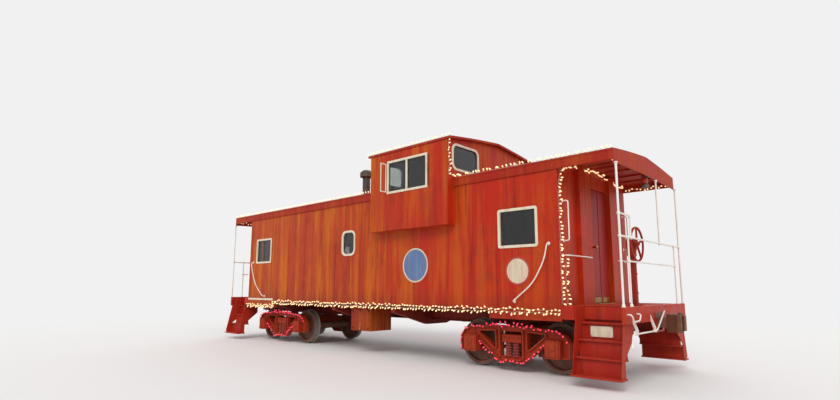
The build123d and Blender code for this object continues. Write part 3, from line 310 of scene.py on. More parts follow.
glass = Finish("window_glass", (0.42, 0.45, 0.44), 0.03, Transmission_Weight=1.0, IOR=1.45)
glass.rough(glass.span(glass.noise(2.2, 6, 0.7, (1, 1, 0.5)), 0.45, 0.8, 0.02, 0.2))
red["window_glass"] = glass

board = Finish("floor_boards", (0.2, 0.13, 0.075), 0.6)
grain = board.noise(1.0, 8, 0.65, (1.4, 26, 26), 1.2)
groove = board.math("LESS_THAN", board.math("FRACT", board.times(board.y, 9)), 0.05)
colour = board.mix(board.span(grain, 0.3, 0.7), (0.13, 0.075, 0.04), (0.27, 0.18, 0.1))
board.colour(board.mix(groove, colour, (0.03, 0.02, 0.012)))
board.bump(board.math("SUBTRACT", grain, groove), 0.003)
red["floor_board"] = board

wood = Finish("cabin_wood", (0.28, 0.15, 0.07), 0.4)
grain = wood.noise(1.0, 8, 0.65, (2, 22, 22), 1.6)
wood.colour(wood.mix(wood.span(grain, 0.3, 0.7), (0.19, 0.09, 0.04), (0.36, 0.2, 0.1)))
wood.bump(grain, 0.001)
red["cabin_wood"] = wood


def dark_metal(name, clean, rust, rust_amount, gloss, grain_scale=60):
    """Blackened or rusty iron with a rough skin."""
    metal = Finish(name, clean, gloss, Metallic=0.0)
    patches = metal.noise(5, 6, 0.65)
    grain = metal.noise(grain_scale, 5, 0.7)
    spread = metal.span(metal.math("ADD", patches, metal.times(grain, 0.3)), 0.5, 0.8)
    metal.colour(metal.mix(metal.times(spread, rust_amount), clean, rust))
    metal.rough(metal.span(grain, 0.3, 0.7, gloss, gloss + 0.25))
    metal.bump(grain, 0.0015)
    return metal


for slot, *look in (
    ("stove_iron", "stove_iron", (0.03, 0.03, 0.032), (0.1, 0.05, 0.03), 0.5, 0.35),
    ("jack_black", "smoke_jack", (0.035, 0.032, 0.03), (0.16, 0.075, 0.04), 0.7, 0.5),
    ("spring_steel", "spring_paint", (0.34, 0.03, 0.015), (0.1, 0.03, 0.02), 0.8, 0.45),
    ("coupler_iron", "coupler_iron", (0.13, 0.045, 0.025), (0.2, 0.09, 0.045), 0.8, 0.55, 40),
):
    red[slot] = dark_metal(*look)

# Wheels: brown rusty plates, bright where the tread runs on the rail
wheel = dark_metal("wheel_steel", (0.12, 0.05, 0.035), (0.2, 0.085, 0.045), 0.8, 0.6, 45)
from_axle = wheel.math("ABSOLUTE", wheel.x)
for middle in (TRUCK_X, AXLE_OFFSET):
    from_axle = wheel.math("ABSOLUTE", wheel.math("SUBTRACT", from_axle, middle))
radius = wheel.length(from_axle, wheel.math("SUBTRACT", wheel.z, AXLE_Z))
tread = wheel.times(wheel.span(radius, 0.408, 0.412), wheel.span(wheel.noise(14), 0.25, 0.5))
wheel.over(tread, (0.3, 0.27, 0.25))
wheel.feed(wheel.times(tread, 0.85), wheel.shader.inputs["Metallic"])
red["wheel_steel"] = wheel

for row in frame["record"]["subparts"]:
    node = NODES[row["node"]]
    for material_slot in node.material_slots:
        material_slot.link = "OBJECT"
        material_slot.material = red[row["material_slot"]].material

# Materials of the trim
bulb_glow = Finish(
    "warm_bulb", (0.85, 0.6, 0.3), 0.3, Emission_Color=(1, 0.68, 0.38, 1), Emission_Strength=1.05
)
red_glow = Finish(
    "red_bulb", (0.8, 0.05, 0.09), 0.3, Emission_Color=(1, 0.06, 0.13, 1), Emission_Strength=0.9
)
for glow in (bulb_glow, red_glow):
    shade = glow.noise(60, 1)
    base = tuple(glow.shader.inputs["Base Color"].default_value)[:3]
    glow.colour(glow.mix(glow.span(shade, 0.3, 0.7), base, tuple(0.8 * c for c in base)))
    glow.material.cycles.emission_sampling = "NONE"
wire_pale = pale_paint("light_wire_pale", (0.62, 0.52, 0.42), (0.4, 0.28, 0.2), 0.5)
wire_green = dark_metal("light_wire", (0.012, 0.035, 0.018), (0.03, 0.05, 0.03), 0.5, 0.5, 90)
rubber = dark_metal("gasket_rubber", (0.015, 0.015, 0.015), (0.05, 0.048, 0.045), 0.5, 0.6, 80)
lamp_glass = Finish("lamp_lens", (0.5, 0.02, 0.015), 0.15)
lamp_glass.bump(lamp_glass.noise(120, 1), 0.001)
emblem_blue = pale_paint("emblem_blue", (0.09, 0.16, 0.34), (0.2, 0.24, 0.3), 0.45)
emblem_cream = pale_paint("emblem_cream", (0.68, 0.57, 0.42), (0.45, 0.3, 0.18), 0.45)
emblem_red = pale_paint("emblem_red", (0.45, 0.04, 0.025), (0.3, 0.03, 0.02), 0.45)
brass = dark_metal("brass_handle", (0.5, 0.34, 0.12), (0.25, 0.16, 0.07), 0.7, 0.3, 70)
brass.shader.inputs["Metallic"].default_value = 0.9


# Mesh pieces
class Mesh:
    """Collects simple forms into one mesh object."""

    def __init__(self):
        self.points = []
        self.faces = []

    def skin(self, rings, sides, closed=False):
        """Faces between rings of points, the first and last ring joined or else capped."""
        count = len(rings) // sides
        faces = []
        for row in range(count if closed else count - 1):
            ahead = (row + 1) % count
            for k in range(sides):
                q = (k + 1) % sides
                faces.append((row * sides + k, row * sides + q, ahead * sides + q, ahead * sides + k))
        if not closed:
            faces.append(tuple(reversed(range(sides))))
            faces.append(tuple(range((count - 1) * sides, count * sides)))
        start = len(self.points)
        self.points.extend(rings)
        self.faces.extend([[start + i for i in face] for face in faces])

    def lathe(self, profile, base, axis, sides, hollow=False):
        """A turned form, or a ring: rows of (radius, distance along the axis) from its base."""
        axis = Vector(axis).normalized()
        turn = axis.to_track_quat("Z", "Y").to_matrix()
        rings = []
        for r, d in profile:
            for k in range(sides):
                a = 2 * pi * k / sides
                rings.append(Vector(base) + turn @ Vector((r * cos(a), r * sin(a), d)))
        self.skin(rings, sides, hollow)

    def tube(self, points, r, sides=6, closed=False):
        """A tube along a line of points, its rings turned to halve each corner."""
        points = [Vector(p) for p in points]
        count = len(points)
        rings = []
        for i, point in enumerate(points):
            ahead = points[(i + 1) % count if closed else min(i + 1, count - 1)] - point
            behind = point - points[(i - 1) % count if closed else max(i - 1, 0)]
            along = (ahead.normalized() + behind.normalized()).normalized()
            side = along.cross(Vector((0.13, 0.21, 0.97))).normalized()
            up = side.cross(along)
            for k in range(sides):
                a = 2 * pi * k / sides
                rings.append(point + r * (cos(a) * side + sin(a) * up))
        self.skin(rings, sides, closed)

    def strip(self, points, side, up, width, height, edge=0.3):
        """A raised strip along a line of points, its upper edges sloped in by a share of its height."""
        side, up = Vector(side), Vector(up)
        low, high = width / 2, width / 2 - edge * height
        rise = height * (1 - edge)
        profile = ((-low, 0), (low, 0), (low, rise), (high, height), (-high, height), (-low, rise))
        rings = [Vector(p) + side * a + up * b for p in points for a, b in profile]
        self.skin(rings, len(profile))

    def bolt(self, base, axis, r=0.012, height=0.008):
        """A six-sided head on a washer."""
        washer = height * 0.3
        head = [(r * 1.5, 0), (r * 1.5, washer), (r, washer), (r, height * 0.85), (r * 0.7, height)]
        self.lathe(head, base, axis, 6)

    def build(self, name, finish, slot, body="car_body", smooth=False):
        mesh = bpy.data.meshes.new(name)
        mesh.from_pydata([tuple(p) for p in self.points], [], self.faces)
        work = bmesh.new()
        work.from_mesh(mesh)
        bmesh.ops.recalc_face_normals(work, faces=work.faces)
        work.to_mesh(mesh)
        work.free()
        mesh.materials.append(finish.material)
        if smooth:
            mesh.shade_smooth()
        piece = bpy.data.objects.new(name, mesh)
        bpy.context.scene.collection.objects.link(piece)
        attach(piece, body)

    def dress(self, name, slot, body="car_body"):
        """Builds the mesh in the finish that the part itself has in this slot."""
        self.build(name, red[slot], slot, body)


ENDS = (("a", 1), ("b", -1))
SIDES = (("near", -1), ("far", 1))
UP, DOWN, ALONG, ACROSS = (0, 0, 1), (0, 0, -1), (1, 0, 0), (0, 1, 0)


def turned(s, x, y, z):
    """A place of the A end, turned half a turn for the B end."""
    return Vector((s * x, s * y, z))


def mirrored(points, s):
    """Points of the A end, mirrored along the car for the B end."""
    return [(s * x, y, z) for x, y, z in points]


def rounded(width, height, corner, steps=4):
    """Points round a rectangle with rounded corners, about its middle."""
    points = []
    for quarter, (sx, sz) in enumerate(((1, 1), (-1, 1), (-1, -1), (1, -1))):
        x, z = sx * (width / 2 - corner), sz * (height / 2 - corner)
        for k in range(steps + 1):
            a = pi / 2 * (quarter + k / steps)
            points.append((x + corner * cos(a), z + corner * sin(a)))
    return points


# String lights: a wire pinned along the edges, a small bulb in a socket at each pin
SOCKET = [(0.004, -0.002), (0.0075, 0.002), (0.0075, 0.02), (0.006, 0.022)]
BULB = [(0.006, 0.02), (0.0125, 0.03), (0.0145, 0.04), (0.0115, 0.052), (0.005, 0.061)]
WIRE_RADIUS = 0.0028


def light_run(name, route, out, spacing, colour, spread, wander, body="car_body"):
    """Bulbs and wire pinned along a route; each bulb points out, give or take the spread."""
    chance = Random(name)
    route = [Vector(p) for p in route]
    out = Vector(out).normalized()
    pins = []
    for start, stop in zip(route, route[1:]):
        count = max(1, round((stop - start).length / spacing))
        pins.extend(start.lerp(stop, k / count) for k in range(count))
    pins.append(route[-1])
    bulbs, wires = Mesh(), Mesh()
    line = []
    for k, pin in enumerate(pins):
        along = (pins[min(k + 1, len(pins) - 1)] - pins[max(k - 1, 0)]).normalized()
        across = along.cross(out).normalized()
        pin = pin + across * wander * (chance.random() * 2 - 1)
        aside = across * spread * chance.uniform(-1, 1)
        onward = along * spread * chance.uniform(-1, 1)
        way = (out + aside + onward).normalized()
        line.append(pin)
        wires.lathe(SOCKET, pin, way, 6)
        bulbs.lathe(BULB, pin, way, 7)
    wires.tube(line, WIRE_RADIUS, 4)
    if colour == "warm":
        glow, glow_slot, wire, wire_slot = bulb_glow, "cream_paint", wire_pale, "cream_paint"
    else:
        glow, glow_slot, wire, wire_slot = red_glow, "step_red", wire_green, "jack_black"
    bulbs.build(f"{name}_bulbs", glow, glow_slot, body, smooth=True)
    wires.build(f"{name}_wire", wire, wire_slot, body)


PIN_GAP = 0.004
SILL_RUN_Z = 1.1
LIT_SIDES = SIDES[:1]
for side, s in LIT_SIDES:
    wall_y = s * (SIDE_Y + BATTEN_PROUD + PIN_GAP)
    for row, drop, lean in (("upper", 0.0, 0.15), ("lower", 0.045, -0.7)):
        high, low = SILL_RUN_Z - drop, DEEP_SILL_LINE + 0.05 - drop / 2
        route = [
            (HALF_LENGTH - 0.01, wall_y, high),
            (-DEEP_SILL_START, wall_y, high),
            (-DEEP_SILL_START, wall_y, low),
            (-HALF_LENGTH + 0.02, wall_y, low),
        ]
        light_run(f"sill_lights_{side}_{row}", route, (0, s, lean), 0.075, "warm", 0.6, 0.012)
    up_out = (0, 0.5 * s, 1)
    edge_y = s * (ROOF_SIDE - 0.006)
    edge_z = roof_z(ROOF_SIDE) + PIN_GAP
    for part, x0, x1 in (
        ("a", ROOF_END - 0.02, CUPOLA_HI.x + 0.02),
        ("b", CUPOLA_LO.x - 0.02, -ROOF_END + 0.02),
    ):
        route = [(x, edge_y, edge_z) for x in (x0, x1)]
        light_run(f"roof_lights_{side}_{part}", route, up_out, 0.085, "warm", 0.7, 0.008)
    top_y = -CUPOLA_ROOF_LO.y - 0.006
    ends = (CUPOLA_ROOF_LO.x + 0.02, CUPOLA_ROOF_HI.x - 0.02)
    route = [(x, s * top_y, cupola_z(top_y) + PIN_GAP) for x in ends]
    light_run(f"cupola_lights_{side}", route, up_out, 0.09, "warm", 0.7, 0.006)
route = [
    (CUPOLA_HI.x + PIN_GAP, -CUPOLA_SIDE + 0.03, cupola_z(CUPOLA_SIDE) - 0.07),
    (CUPOLA_HI.x + PIN_GAP, -CUPOLA_SIDE + 0.03, roof_z(ROOF_SIDE) + 0.02),
    (CUPOLA_HI.x + PIN_GAP, -ROOF_SIDE + 0.12, roof_z(ROOF_SIDE) + 0.04),
]
light_run("cupola_corner_lights", route, (1, -0.2, 0), 0.07, "warm", 0.6, 0.015)

# Lights of the ends, mirrored for the B end: up the near corner and over the doorway, under the far
# eave, round the canopy's end plate, and a second drop beside the corner
ARCH_DROP = 0.11
ARCH_Y = (-1.26, -1.0, -0.7, -0.35, 0.0, 0.35, 0.7, 1.0, 1.3)
PLATE_Y = (-1.3, -0.9, -0.45, 0.0, 0.45, 0.9, 1.3)
EAVE_Z = 3.42
wall_x = HALF_LENGTH + PIN_GAP
climb = [(wall_x, y - SIDE_Y, z) for y, z in ((0.035, DECK_TOP + 0.03), (0.035, 2.98), (0.06, 3.2))]
arch = [(wall_x, y, roof_z(y) - ARCH_DROP - 0.05 * (y < -1.2)) for y in ARCH_Y]
eave = [(x, SIDE_Y - 0.02, EAVE_Z) for x in (ROOF_END - 0.05, HALF_LENGTH + 0.08)]
plate = [(ROOF_END - 0.02, y, roof_z(y) - 0.16) for y in PLATE_Y]
drop = [(wall_x, -1.2, 1.93), (wall_x, -1.24, 1.5), (wall_x, -1.2, DECK_TOP + 0.03)]
END_RUNS = [  # name, route, way out, spacing, spread, wander
    ("end_wall_lights", climb + arch, (1, 0, -0.2), 0.06, 0.7, 0.02),
    ("eave_lights", eave, (0, -1, -0.6), 0.07, 0.6, 0.02),
    ("canopy_lights", plate, (-1, 0, -0.4), 0.085, 0.5, 0.02),
    ("end_drop_lights", drop, (1, 0, 0), 0.07, 0.7, 0.015),
]
for end, s in ENDS:
    for name, route, out, spacing, spread, wander in END_RUNS:
        route, (out,) = mirrored(route, s), mirrored([out], s)
        light_run(f"{name}_{end}", route, out, spacing, "warm", spread, wander)

# Red lights round the trucks' side frames, on their lit side
FRAME_OUT = 1.064
TRUCK_RUNS = [  # name, y, route as x from the truck's middle and z, lean, spacing, spread, wander
    (
        "top", FRAME_OUT,
        ((-1.075, 0.33), (-1.075, 0.58), (-0.98, 0.712), (-0.42, 0.772),
         (0.42, 0.772), (0.98, 0.712), (1.075, 0.58)),
        0.5, 0.07, 0.6, 0.018,
    ),
    ("shelf", 1.01, ((-0.4, 0.795), (0.4, 0.795)), 0.6, 0.09, 0.7, 0.03),
    (
        "low", FRAME_OUT, ((-0.66, 0.49), (-0.27, 0.19), (0.27, 0.19), (0.66, 0.49)),
        -0.3, 0.07, 0.6, 0.015,
    ),
]
for end, s in ENDS:
    for side, t in LIT_SIDES:
        for name, y, route, lean, spacing, spread, wander in TRUCK_RUNS:
            route = [(s * TRUCK_X + x, t * y, z) for x, z in route]
            run = f"truck_{name}_lights_{end}_{side}"
            light_run(run, route, (0, t, lean), spacing, "red", spread, wander, f"truck_{end}")

# Roofs: a strip and a row of bolts over each sheet joint, a ridge strip, drip rails along the edges
SHEET_LENGTH = 1.05
SUNK = 0.001
for name, x0, x1, height, reach in (
    ("roof_a", CUPOLA_HI.x, ROOF_END, roof_z, ROOF_SIDE),
    ("roof_b", -ROOF_END, CUPOLA_LO.x, roof_z, ROOF_SIDE),
    ("cupola_roof", CUPOLA_ROOF_LO.x, CUPOLA_ROOF_HI.x, cupola_z, CUPOLA_ROOF_HI.y),
):
    seams = Mesh()
    count = round((x1 - x0) / SHEET_LENGTH)
    rows = [x0 + (x1 - x0) * (k + 0.5) / count for k in range(count)]
    across = [reach * (k / 8 - 1) * 0.992 for k in range(17)]
    for x in rows:
        seams.strip([(x, y, height(y) - SUNK) for y in across], ALONG, UP, 0.045, 0.012)
    seams.strip([(x, 0, height(0) - 0.002) for x in (x0 + 0.02, x1 - 0.02)], ACROSS, UP, 0.09, 0.008)
    for x in rows:
        for y in across[1:-1:2]:
            seams.bolt((x + 0.034, y, height(y) - SUNK), UP, 0.008, 0.006)
    seams.dress(f"{name}_seams", "roof_red")
drips = Mesh()
for t in (-1, 1):
    for x0, x1 in ((CUPOLA_HI.x + 0.004, ROOF_END - 0.003), (-ROOF_END + 0.003, CUPOLA_LO.x - 0.004)):
        for z in (ROOF_LO.z + 0.062, roof_z(ROOF_SIDE) - 0.02):
            drips.strip([(x, t * ROOF_SIDE, z) for x in (x0, x1)], UP, (0, t, 0), 0.022, 0.007)
drips.dress("roof_drip_rails", "roof_red")

# Canopies: ribs under the roof sheet, a beading along the end plate's lower edge, a lantern on its hook
RIB_Y = (-1.1, -0.75, -0.35, 0.0, 0.35, 0.75, 1.1)
LANTERN_PLACE = (5.72, 0.11, 3.18)
LANTERN_HOOK = (3.6, 3.42)
LANTERN_TOP = [
    (0.012, 0.245), (0.045, 0.24), (0.052, 0.205), (0.062, 0.2),
    (0.062, 0.192), (0.036, 0.185), (0.036, 0.178),
]
LANTERN_FOOT = [(0.07, 0), (0.07, 0.03), (0.05, 0.05), (0.045, 0.06)]
LANTERN_GLOBE = [(0.032, 0.055), (0.05, 0.09), (0.053, 0.12), (0.045, 0.16), (0.033, 0.18)]
LANTERN_POST = (0.02, 0.205)
LANTERN_POST_RADIUS = 0.058
for end, s in ENDS:
    ribs = Mesh()
    for y in RIB_Y:
        z = roof_z(y) - 0.05
        rib = [(s * (HALF_LENGTH + 0.075), y, z), (s * (ROOF_END - 0.015), y, z)]
        ribs.strip(rib, ACROSS, DOWN, 0.05, 0.03)
    rim = []
    for y in [k / 8 * 1.43 for k in range(-8, 9)]:
        rim.append((s * ROOF_END, y, ROOF_LO.z + 0.012 + 0.025 * (1 - (y / 1.44) ** 2)))
    ribs.strip(rim, UP, (s, 0, 0), 0.024, 0.008)
    ribs.dress(f"canopy_ribs_{end}", "roof_red")
    place = turned(s, *LANTERN_PLACE)
    lantern = Mesh()
    lantern.tube([Vector((place.x, place.y, z)) for z in LANTERN_HOOK], 0.006, 6)
    lantern.lathe(LANTERN_TOP, place, UP, 16)
    lantern.lathe(LANTERN_FOOT, place, UP, 16)
    for k in range(4):
        a = pi / 4 + k * pi / 2
        post = place + LANTERN_POST_RADIUS * Vector((cos(a), sin(a), 0))
        lantern.tube([post + Vector((0, 0, z)) for z in LANTERN_POST], 0.004, 5)
    lantern.dress(f"lantern_{end}", "jack_black")
    globe = Mesh()
    globe.lathe(LANTERN_GLOBE, place, UP, 18)
    globe.build(f"lantern_globe_{end}", lamp_glass, "window_glass", smooth=True)

# Windows: a rubber gasket round each pane, screws in the frames
CUPOLA_MIDDLE = (CUPOLA_LO.x + CUPOLA_HI.x) / 2
GASKET = 0.008
SIDE_PANES = [  # x and z of the middle, width, height, corner radius, y of the wall's face
    (HALF_LENGTH - 0.764, 2.47, 0.69, 0.59, 0.012, SIDE_Y),
    (-HALF_LENGTH + 0.732, 2.47, 0.69, 0.59, 0.012, SIDE_Y),
    (-0.414, 2.47, 0.39, 0.49, 0.11, SIDE_Y),
    (CUPOLA_MIDDLE - 0.2725, 3.752, 0.505, 0.61, 0.012, CUPOLA_SIDE),
    (CUPOLA_MIDDLE + 0.2725, 3.752, 0.505, 0.61, 0.012, CUPOLA_SIDE),
]
END_PANE_Y, END_PANE_Z = 1.066, 3.964
for side, t in SIDES:
    gaskets, screws = Mesh(), Mesh()
    for x, z, width, height, corner, face_y in SIDE_PANES:
        pane_y = t * (face_y - (WALL / 2 - 0.01 if face_y == SIDE_Y else 0.016))
        loop = rounded(width - 0.012, height - 0.012, corner)
        gaskets.tube([(x + a, pane_y, z + b) for a, b in loop], GASKET, 6, closed=True)
        frame_width, frame_height = width + 0.046, height + 0.046
        spots = rounded(frame_width, frame_height, 0.03, 1)[::2]
        for a, b in spots + [(0, frame_height / 2), (0, -frame_height / 2)]:
            screws.bolt((x + a, t * (face_y + 0.012), z + b), (0, t, 0), 0.005, 0.004)
    for x in (CUPOLA_HI.x - 0.014, CUPOLA_LO.x + 0.014):
        loop = rounded(0.768, 0.438, 0.104, 5)
        gaskets.tube([(x, t * END_PANE_Y + a, END_PANE_Z + b) for a, b in loop], GASKET, 6, closed=True)
    gaskets.build(f"window_gaskets_{side}", rubber, "jack_black", smooth=True)
    screws.dress(f"window_screws_{side}", "cream_paint")

# Sides: weld beads between the sheets, corner angles, then the lit side's pale strip and blank discs
BEAD_X = (-4.2, -1.45, 0.22, 3.1, 4.647, 4.769)
SIDE_TOP = ROOF_LO.z + 0.045
DISCS = [  # name, x, z, radius, colour, colour of the rim
    ("roundel", 4.071, 1.734, 0.24, emblem_cream, emblem_red),
    ("disc", 1.7, 1.9, 0.345, emblem_blue, emblem_cream),
]
for side, t in SIDES:
    face, out = t * SIDE_Y, (0, t, 0)
    sunk = face - t * SUNK
    beads = Mesh()
    for x in BEAD_X:
        top = CUPOLA_LO.z if CUPOLA_LO.x < x < CUPOLA_HI.x else SIDE_TOP
        beads.strip([(x, sunk, SILL_LINE + 0.12), (x, sunk, top)], ALONG, out, 0.014, 0.004)
    for x in (-HALF_LENGTH + 0.03, HALF_LENGTH - 0.03):
        beads.strip([(x, face, DEEP_SILL_LINE), (x, face, SIDE_TOP)], ALONG, out, 0.06, 0.008)
    foot = [(x, sunk, SILL_LINE + 0.06) for x in (-HALF_LENGTH + 0.06, HALF_LENGTH - 0.06)]
    beads.strip(foot, UP, out, 0.012, 0.004)
    bay = t * CUPOLA_SIDE
    for x in (CUPOLA_LO.x + 0.025, CUPOLA_HI.x - 0.025):
        beads.strip([(x, bay, CUPOLA_LO.z + 0.004), (x, bay, CUPOLA_HI.z - 0.01)], ALONG, out, 0.05, 0.006)
    foot = [(x, bay, CUPOLA_LO.z + 0.03) for x in (CUPOLA_LO.x + 0.05, CUPOLA_HI.x - 0.05)]
    beads.strip(foot, UP, out, 0.05, 0.006)
    beads.dress(f"side_beads_{side}", "body_red")
    if (side, t) not in LIT_SIDES:
        continue
    pale_strip = Mesh()
    # A cream strip along the side near the −X end, 1.142 m up.
    pale_strip.strip([(-4.84, face, 1.142), (-3.56, face, 1.142)], UP, out, 0.05, 0.01)
    pale_strip.dress(f"sill_strip_{side}", "cream_paint")
    for name, x, z, r, tone, rim_tone in DISCS:
        disc, ring = Mesh(), Mesh()
        plain = [(r - 0.03, 0), (r - 0.03, 0.0045), (r - 0.05, 0.006), (0.02, 0.0065)]
        disc.lathe(plain, (x, face, z), out, 56)
        disc.build(f"blank_{name}_{side}", tone, "cream_paint")
        edge = [(0, 0), (0, 0.005), (0.006, 0.008), (0.026, 0.008), (0.032, 0.004), (0.032, 0)]
        ring.lathe([(r - inset, rise) for inset, rise in edge], (x, face, z), out, 56, hollow=True)
        ring.build(f"blank_{name}_rim_{side}", rim_tone, "cream_paint")

# Steps and decks: lugs, nosings, stringer and sill bolts, a blank plate on the lit side's second riser
WELL_Y = 1.06
STEP_RUN, STEP_RISE, STEP_COUNT = 0.13, 0.25, 4
TREADS = [(WELL_Y + STEP_RUN * (k + 1), DECK_TOP - STEP_RISE * (k + 1)) for k in range(STEP_COUNT)]
RISER_BACK = 0.04
TREAD_LIP = 0.018
STRINGER = 0.008
STEPS_LO, STEPS_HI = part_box("steps_a")
STEP_X0, STEP_X1 = STEPS_LO.x + TREAD_LIP, STEPS_HI.x - TREAD_LIP
STRINGER_FRONT = [(1.34, 1.16), (1.385, 1.0), (1.565, 0.2)]
PLATE_X0, PLATE_X1 = 5.186, 5.539


def lugs(mesh, x0, x1, y0, y1, z, gap):
    """Raised bars in a chequered pattern, turned to either diagonal in turn."""
    nx, ny = max(2, round(abs(x1 - x0) / gap)), max(2, round(abs(y1 - y0) / gap))
    for i in range(nx):
        for j in range(ny):
            middle = Vector((x0 + (i + 0.5) * (x1 - x0) / nx, y0 + (j + 0.5) * (y1 - y0) / ny, z - 0.0005))
            along = 0.3 * gap * Vector((1 if (i + j) % 2 else -1, 1, 0))
            side = Vector((along.y, -along.x, 0)).normalized()
            mesh.strip([middle - along, middle + along], side, UP, 0.009, 0.0035, 0.8)


for end, s in ENDS:
    grip, edges, deck, plates, borders = Mesh(), Mesh(), Mesh(), Mesh(), Mesh()
    for t in (-1, 1):
        for k, (y, z) in enumerate(TREADS):
            lowest = k == STEP_COUNT - 1
            front = t * (y + 0.02 * lowest)
            inset = STRINGER - TREAD_LIP * lowest
            x0, x1 = STEP_X0 + inset, STEP_X1 - inset
            lugs(grip, s * (x0 + 0.01), s * (x1 - 0.01), t * (y + 0.008), t * (y - 0.155), z, 0.052)
            nosing = [(s * x, front, z - 0.0125) for x in (x0, x1)]
            edges.strip(nosing, UP, (0, t, 0), 0.027, 0.008, 0.9)
            for back in (0.05, 0.13):
                edges.bolt((s * STEP_X1, t * (y - back), z - 0.012), (s, 0, 0), 0.01, 0.008)
        outline = [(s * STEP_X1, t * y, z) for y, z in STRINGER_FRONT]
        edges.strip(outline, (0, t, 0.2), (s, 0, 0), 0.022, 0.006)
    deck_x = s * (HALF_LENGTH + 0.09), s * (SILL_FACE - 0.08)
    lugs(deck, *deck_x, -WELL_Y + 0.02, WELL_Y - 0.02, DECK_TOP, 0.062)
    for t in (-1, 1):
        edge = [(s * x, t * WELL_Y, DECK_TOP - 0.002) for x in (HALF_LENGTH + 0.205, SILL_FACE - 0.065)]
        deck.strip(edge, ACROSS, UP, 0.03, 0.006)
    edge = [(s * (SILL_FACE - 0.03), y, DECK_TOP - 0.002) for y in (-1.42, 1.42)]
    deck.strip(edge, ALONG, UP, 0.05, 0.005)
    for k in range(9):
        deck.bolt((s * SILL_FACE, -1.28 + 0.32 * k, DECK_TOP - 0.03), (s, 0, 0), 0.012, 0.01)
    grip.dress(f"tread_lugs_{end}", "step_red")
    edges.dress(f"step_nosings_{end}", "step_red")
    deck.dress(f"deck_lugs_{end}", "step_red")
    for side, t in LIT_SIDES:
        y, z = TREADS[1]
        face, out = t * (y - STEP_RUN - RISER_BACK), (0, t, 0)
        z0, z1 = z + 0.03, z + 0.2
        middle = [(s * x, face, (z0 + z1) / 2) for x in (PLATE_X0, PLATE_X1)]
        plates.strip(middle, UP, out, z1 - z0, 0.006)
        corners = [(PLATE_X0, z0), (PLATE_X1, z0), (PLATE_X1, z1), (PLATE_X0, z1)]
        borders.tube([(s * x, face + t * 0.005, z) for x, z in corners], 0.005, 6, closed=True)
        for x in (PLATE_X0 + 0.015, PLATE_X1 - 0.015):
            for z in (z0 + 0.015, z1 - 0.015):
                borders.bolt((s * x, face + t * 0.005, z), out, 0.005, 0.004)
    plates.dress(f"blank_step_plates_{end}", "cream_paint")
    borders.dress(f"step_plate_borders_{end}", "door_crimson")

# Trucks: lid ribs, bosses and hinge ends, bolts on the journal boxes, side frames and bolster ends
LID_Y, BOX_Y, COLUMN_Y, BOLSTER_Y = 1.166, 1.15, 1.063, 1.043
LID_BOSS = [(0.018, 0), (0.02, 0.01), (0.012, 0.022), (0.004, 0.026)]
HINGE_END = [(0.019, 0), (0.019, 0.006), (0.012, 0.012)]
for end, s in ENDS:
    fittings = Mesh()
    for t in (-1, 1):
        out = (0, t, 0)
        for k in (-1, 1):
            x = s * TRUCK_X + k * AXLE_OFFSET
            for rib_x in (x - 0.055, x + 0.055):
                fittings.strip([(rib_x, t * LID_Y, z) for z in (0.35, 0.53)], ALONG, out, 0.016, 0.012)
            fittings.strip([(x + shift, t * LID_Y, 0.35) for shift in (-0.07, 0.07)], UP, out, 0.02, 0.014)
            fittings.lathe(LID_BOSS, (x, t * LID_Y, 0.44), out, 14)
            for way in (-1, 1):
                fittings.lathe(HINGE_END, (x + way * 0.069, t * BOX_Y, 0.578), (way, 0, 0), 10)
                for z in (0.33, 0.57):
                    fittings.bolt((x + way * 0.122, t * BOX_Y, z), out, 0.009, 0.009)
        for shift in (-0.237, 0.237):
            for z in (0.33, 0.44, 0.55, 0.66):
                fittings.bolt((s * TRUCK_X + shift, t * COLUMN_Y, z), out, 0.013, 0.012)
        for shift in (-0.14, -0.05, 0.05, 0.14):
            fittings.bolt((s * TRUCK_X + shift, t * BOLSTER_Y, 0.578), out, 0.014, 0.013)
        low = [(s * TRUCK_X + shift, t * COLUMN_Y, 0.215) for shift in (-0.2, 0.2)]
        fittings.strip(low, UP, out, 0.03, 0.008)
    fittings.dress(f"truck_fittings_{end}", "truck_red", f"truck_{end}")

# Railings: collars at the feet and heads of the posts, balls where rails meet, flanges on the grab irons
RAIL_X = 5.82
POST_Y, INNER_Y, ROD_Y = 1.425, 1.11, 0.34
TOP_RAIL, MID_RAIL = DECK_TOP + 1.039, DECK_TOP + 0.675
BALL = [(0.012, -0.026), (0.022, -0.02), (0.028, -0.008), (0.028, 0.008), (0.022, 0.02), (0.012, 0.026)]
COLLAR = [(0.031, -0.001), (0.031, 0.008), (0.024, 0.014), (0.022, 0.04), (0.018, 0.044)]
SIDE_FLANGE = [(0.03, 0), (0.03, 0.006), (0.018, 0.012)]
END_FLANGE = [(0.028, 0), (0.028, 0.006), (0.016, 0.012)]
BALLS = [(y, TOP_RAIL) for y in (-POST_Y, POST_Y, -INNER_Y, INNER_Y, ROD_Y, -POST_Y + 0.435)]
BALLS += [(-INNER_Y, MID_RAIL), (INNER_Y, MID_RAIL), (-POST_Y, TOP_RAIL + 0.34)]
SIDE_FEET = [(HALF_LENGTH - 0.185, DECK_TOP + 0.99), (HALF_LENGTH - 0.853, DECK_TOP + 0.051)]
UPRIGHT_Y, UPRIGHT_Z = SIDE_Y - 0.157, (DECK_TOP + 1.035, DECK_TOP + 1.69)
END_FEET = [(y, z) for y in (UPRIGHT_Y, -UPRIGHT_Y) for z in UPRIGHT_Z]
END_FEET += [(y, DECK_TOP + 0.795) for y in (-SIDE_Y + 0.117, -0.4, SIDE_Y - 0.117, 0.8)]
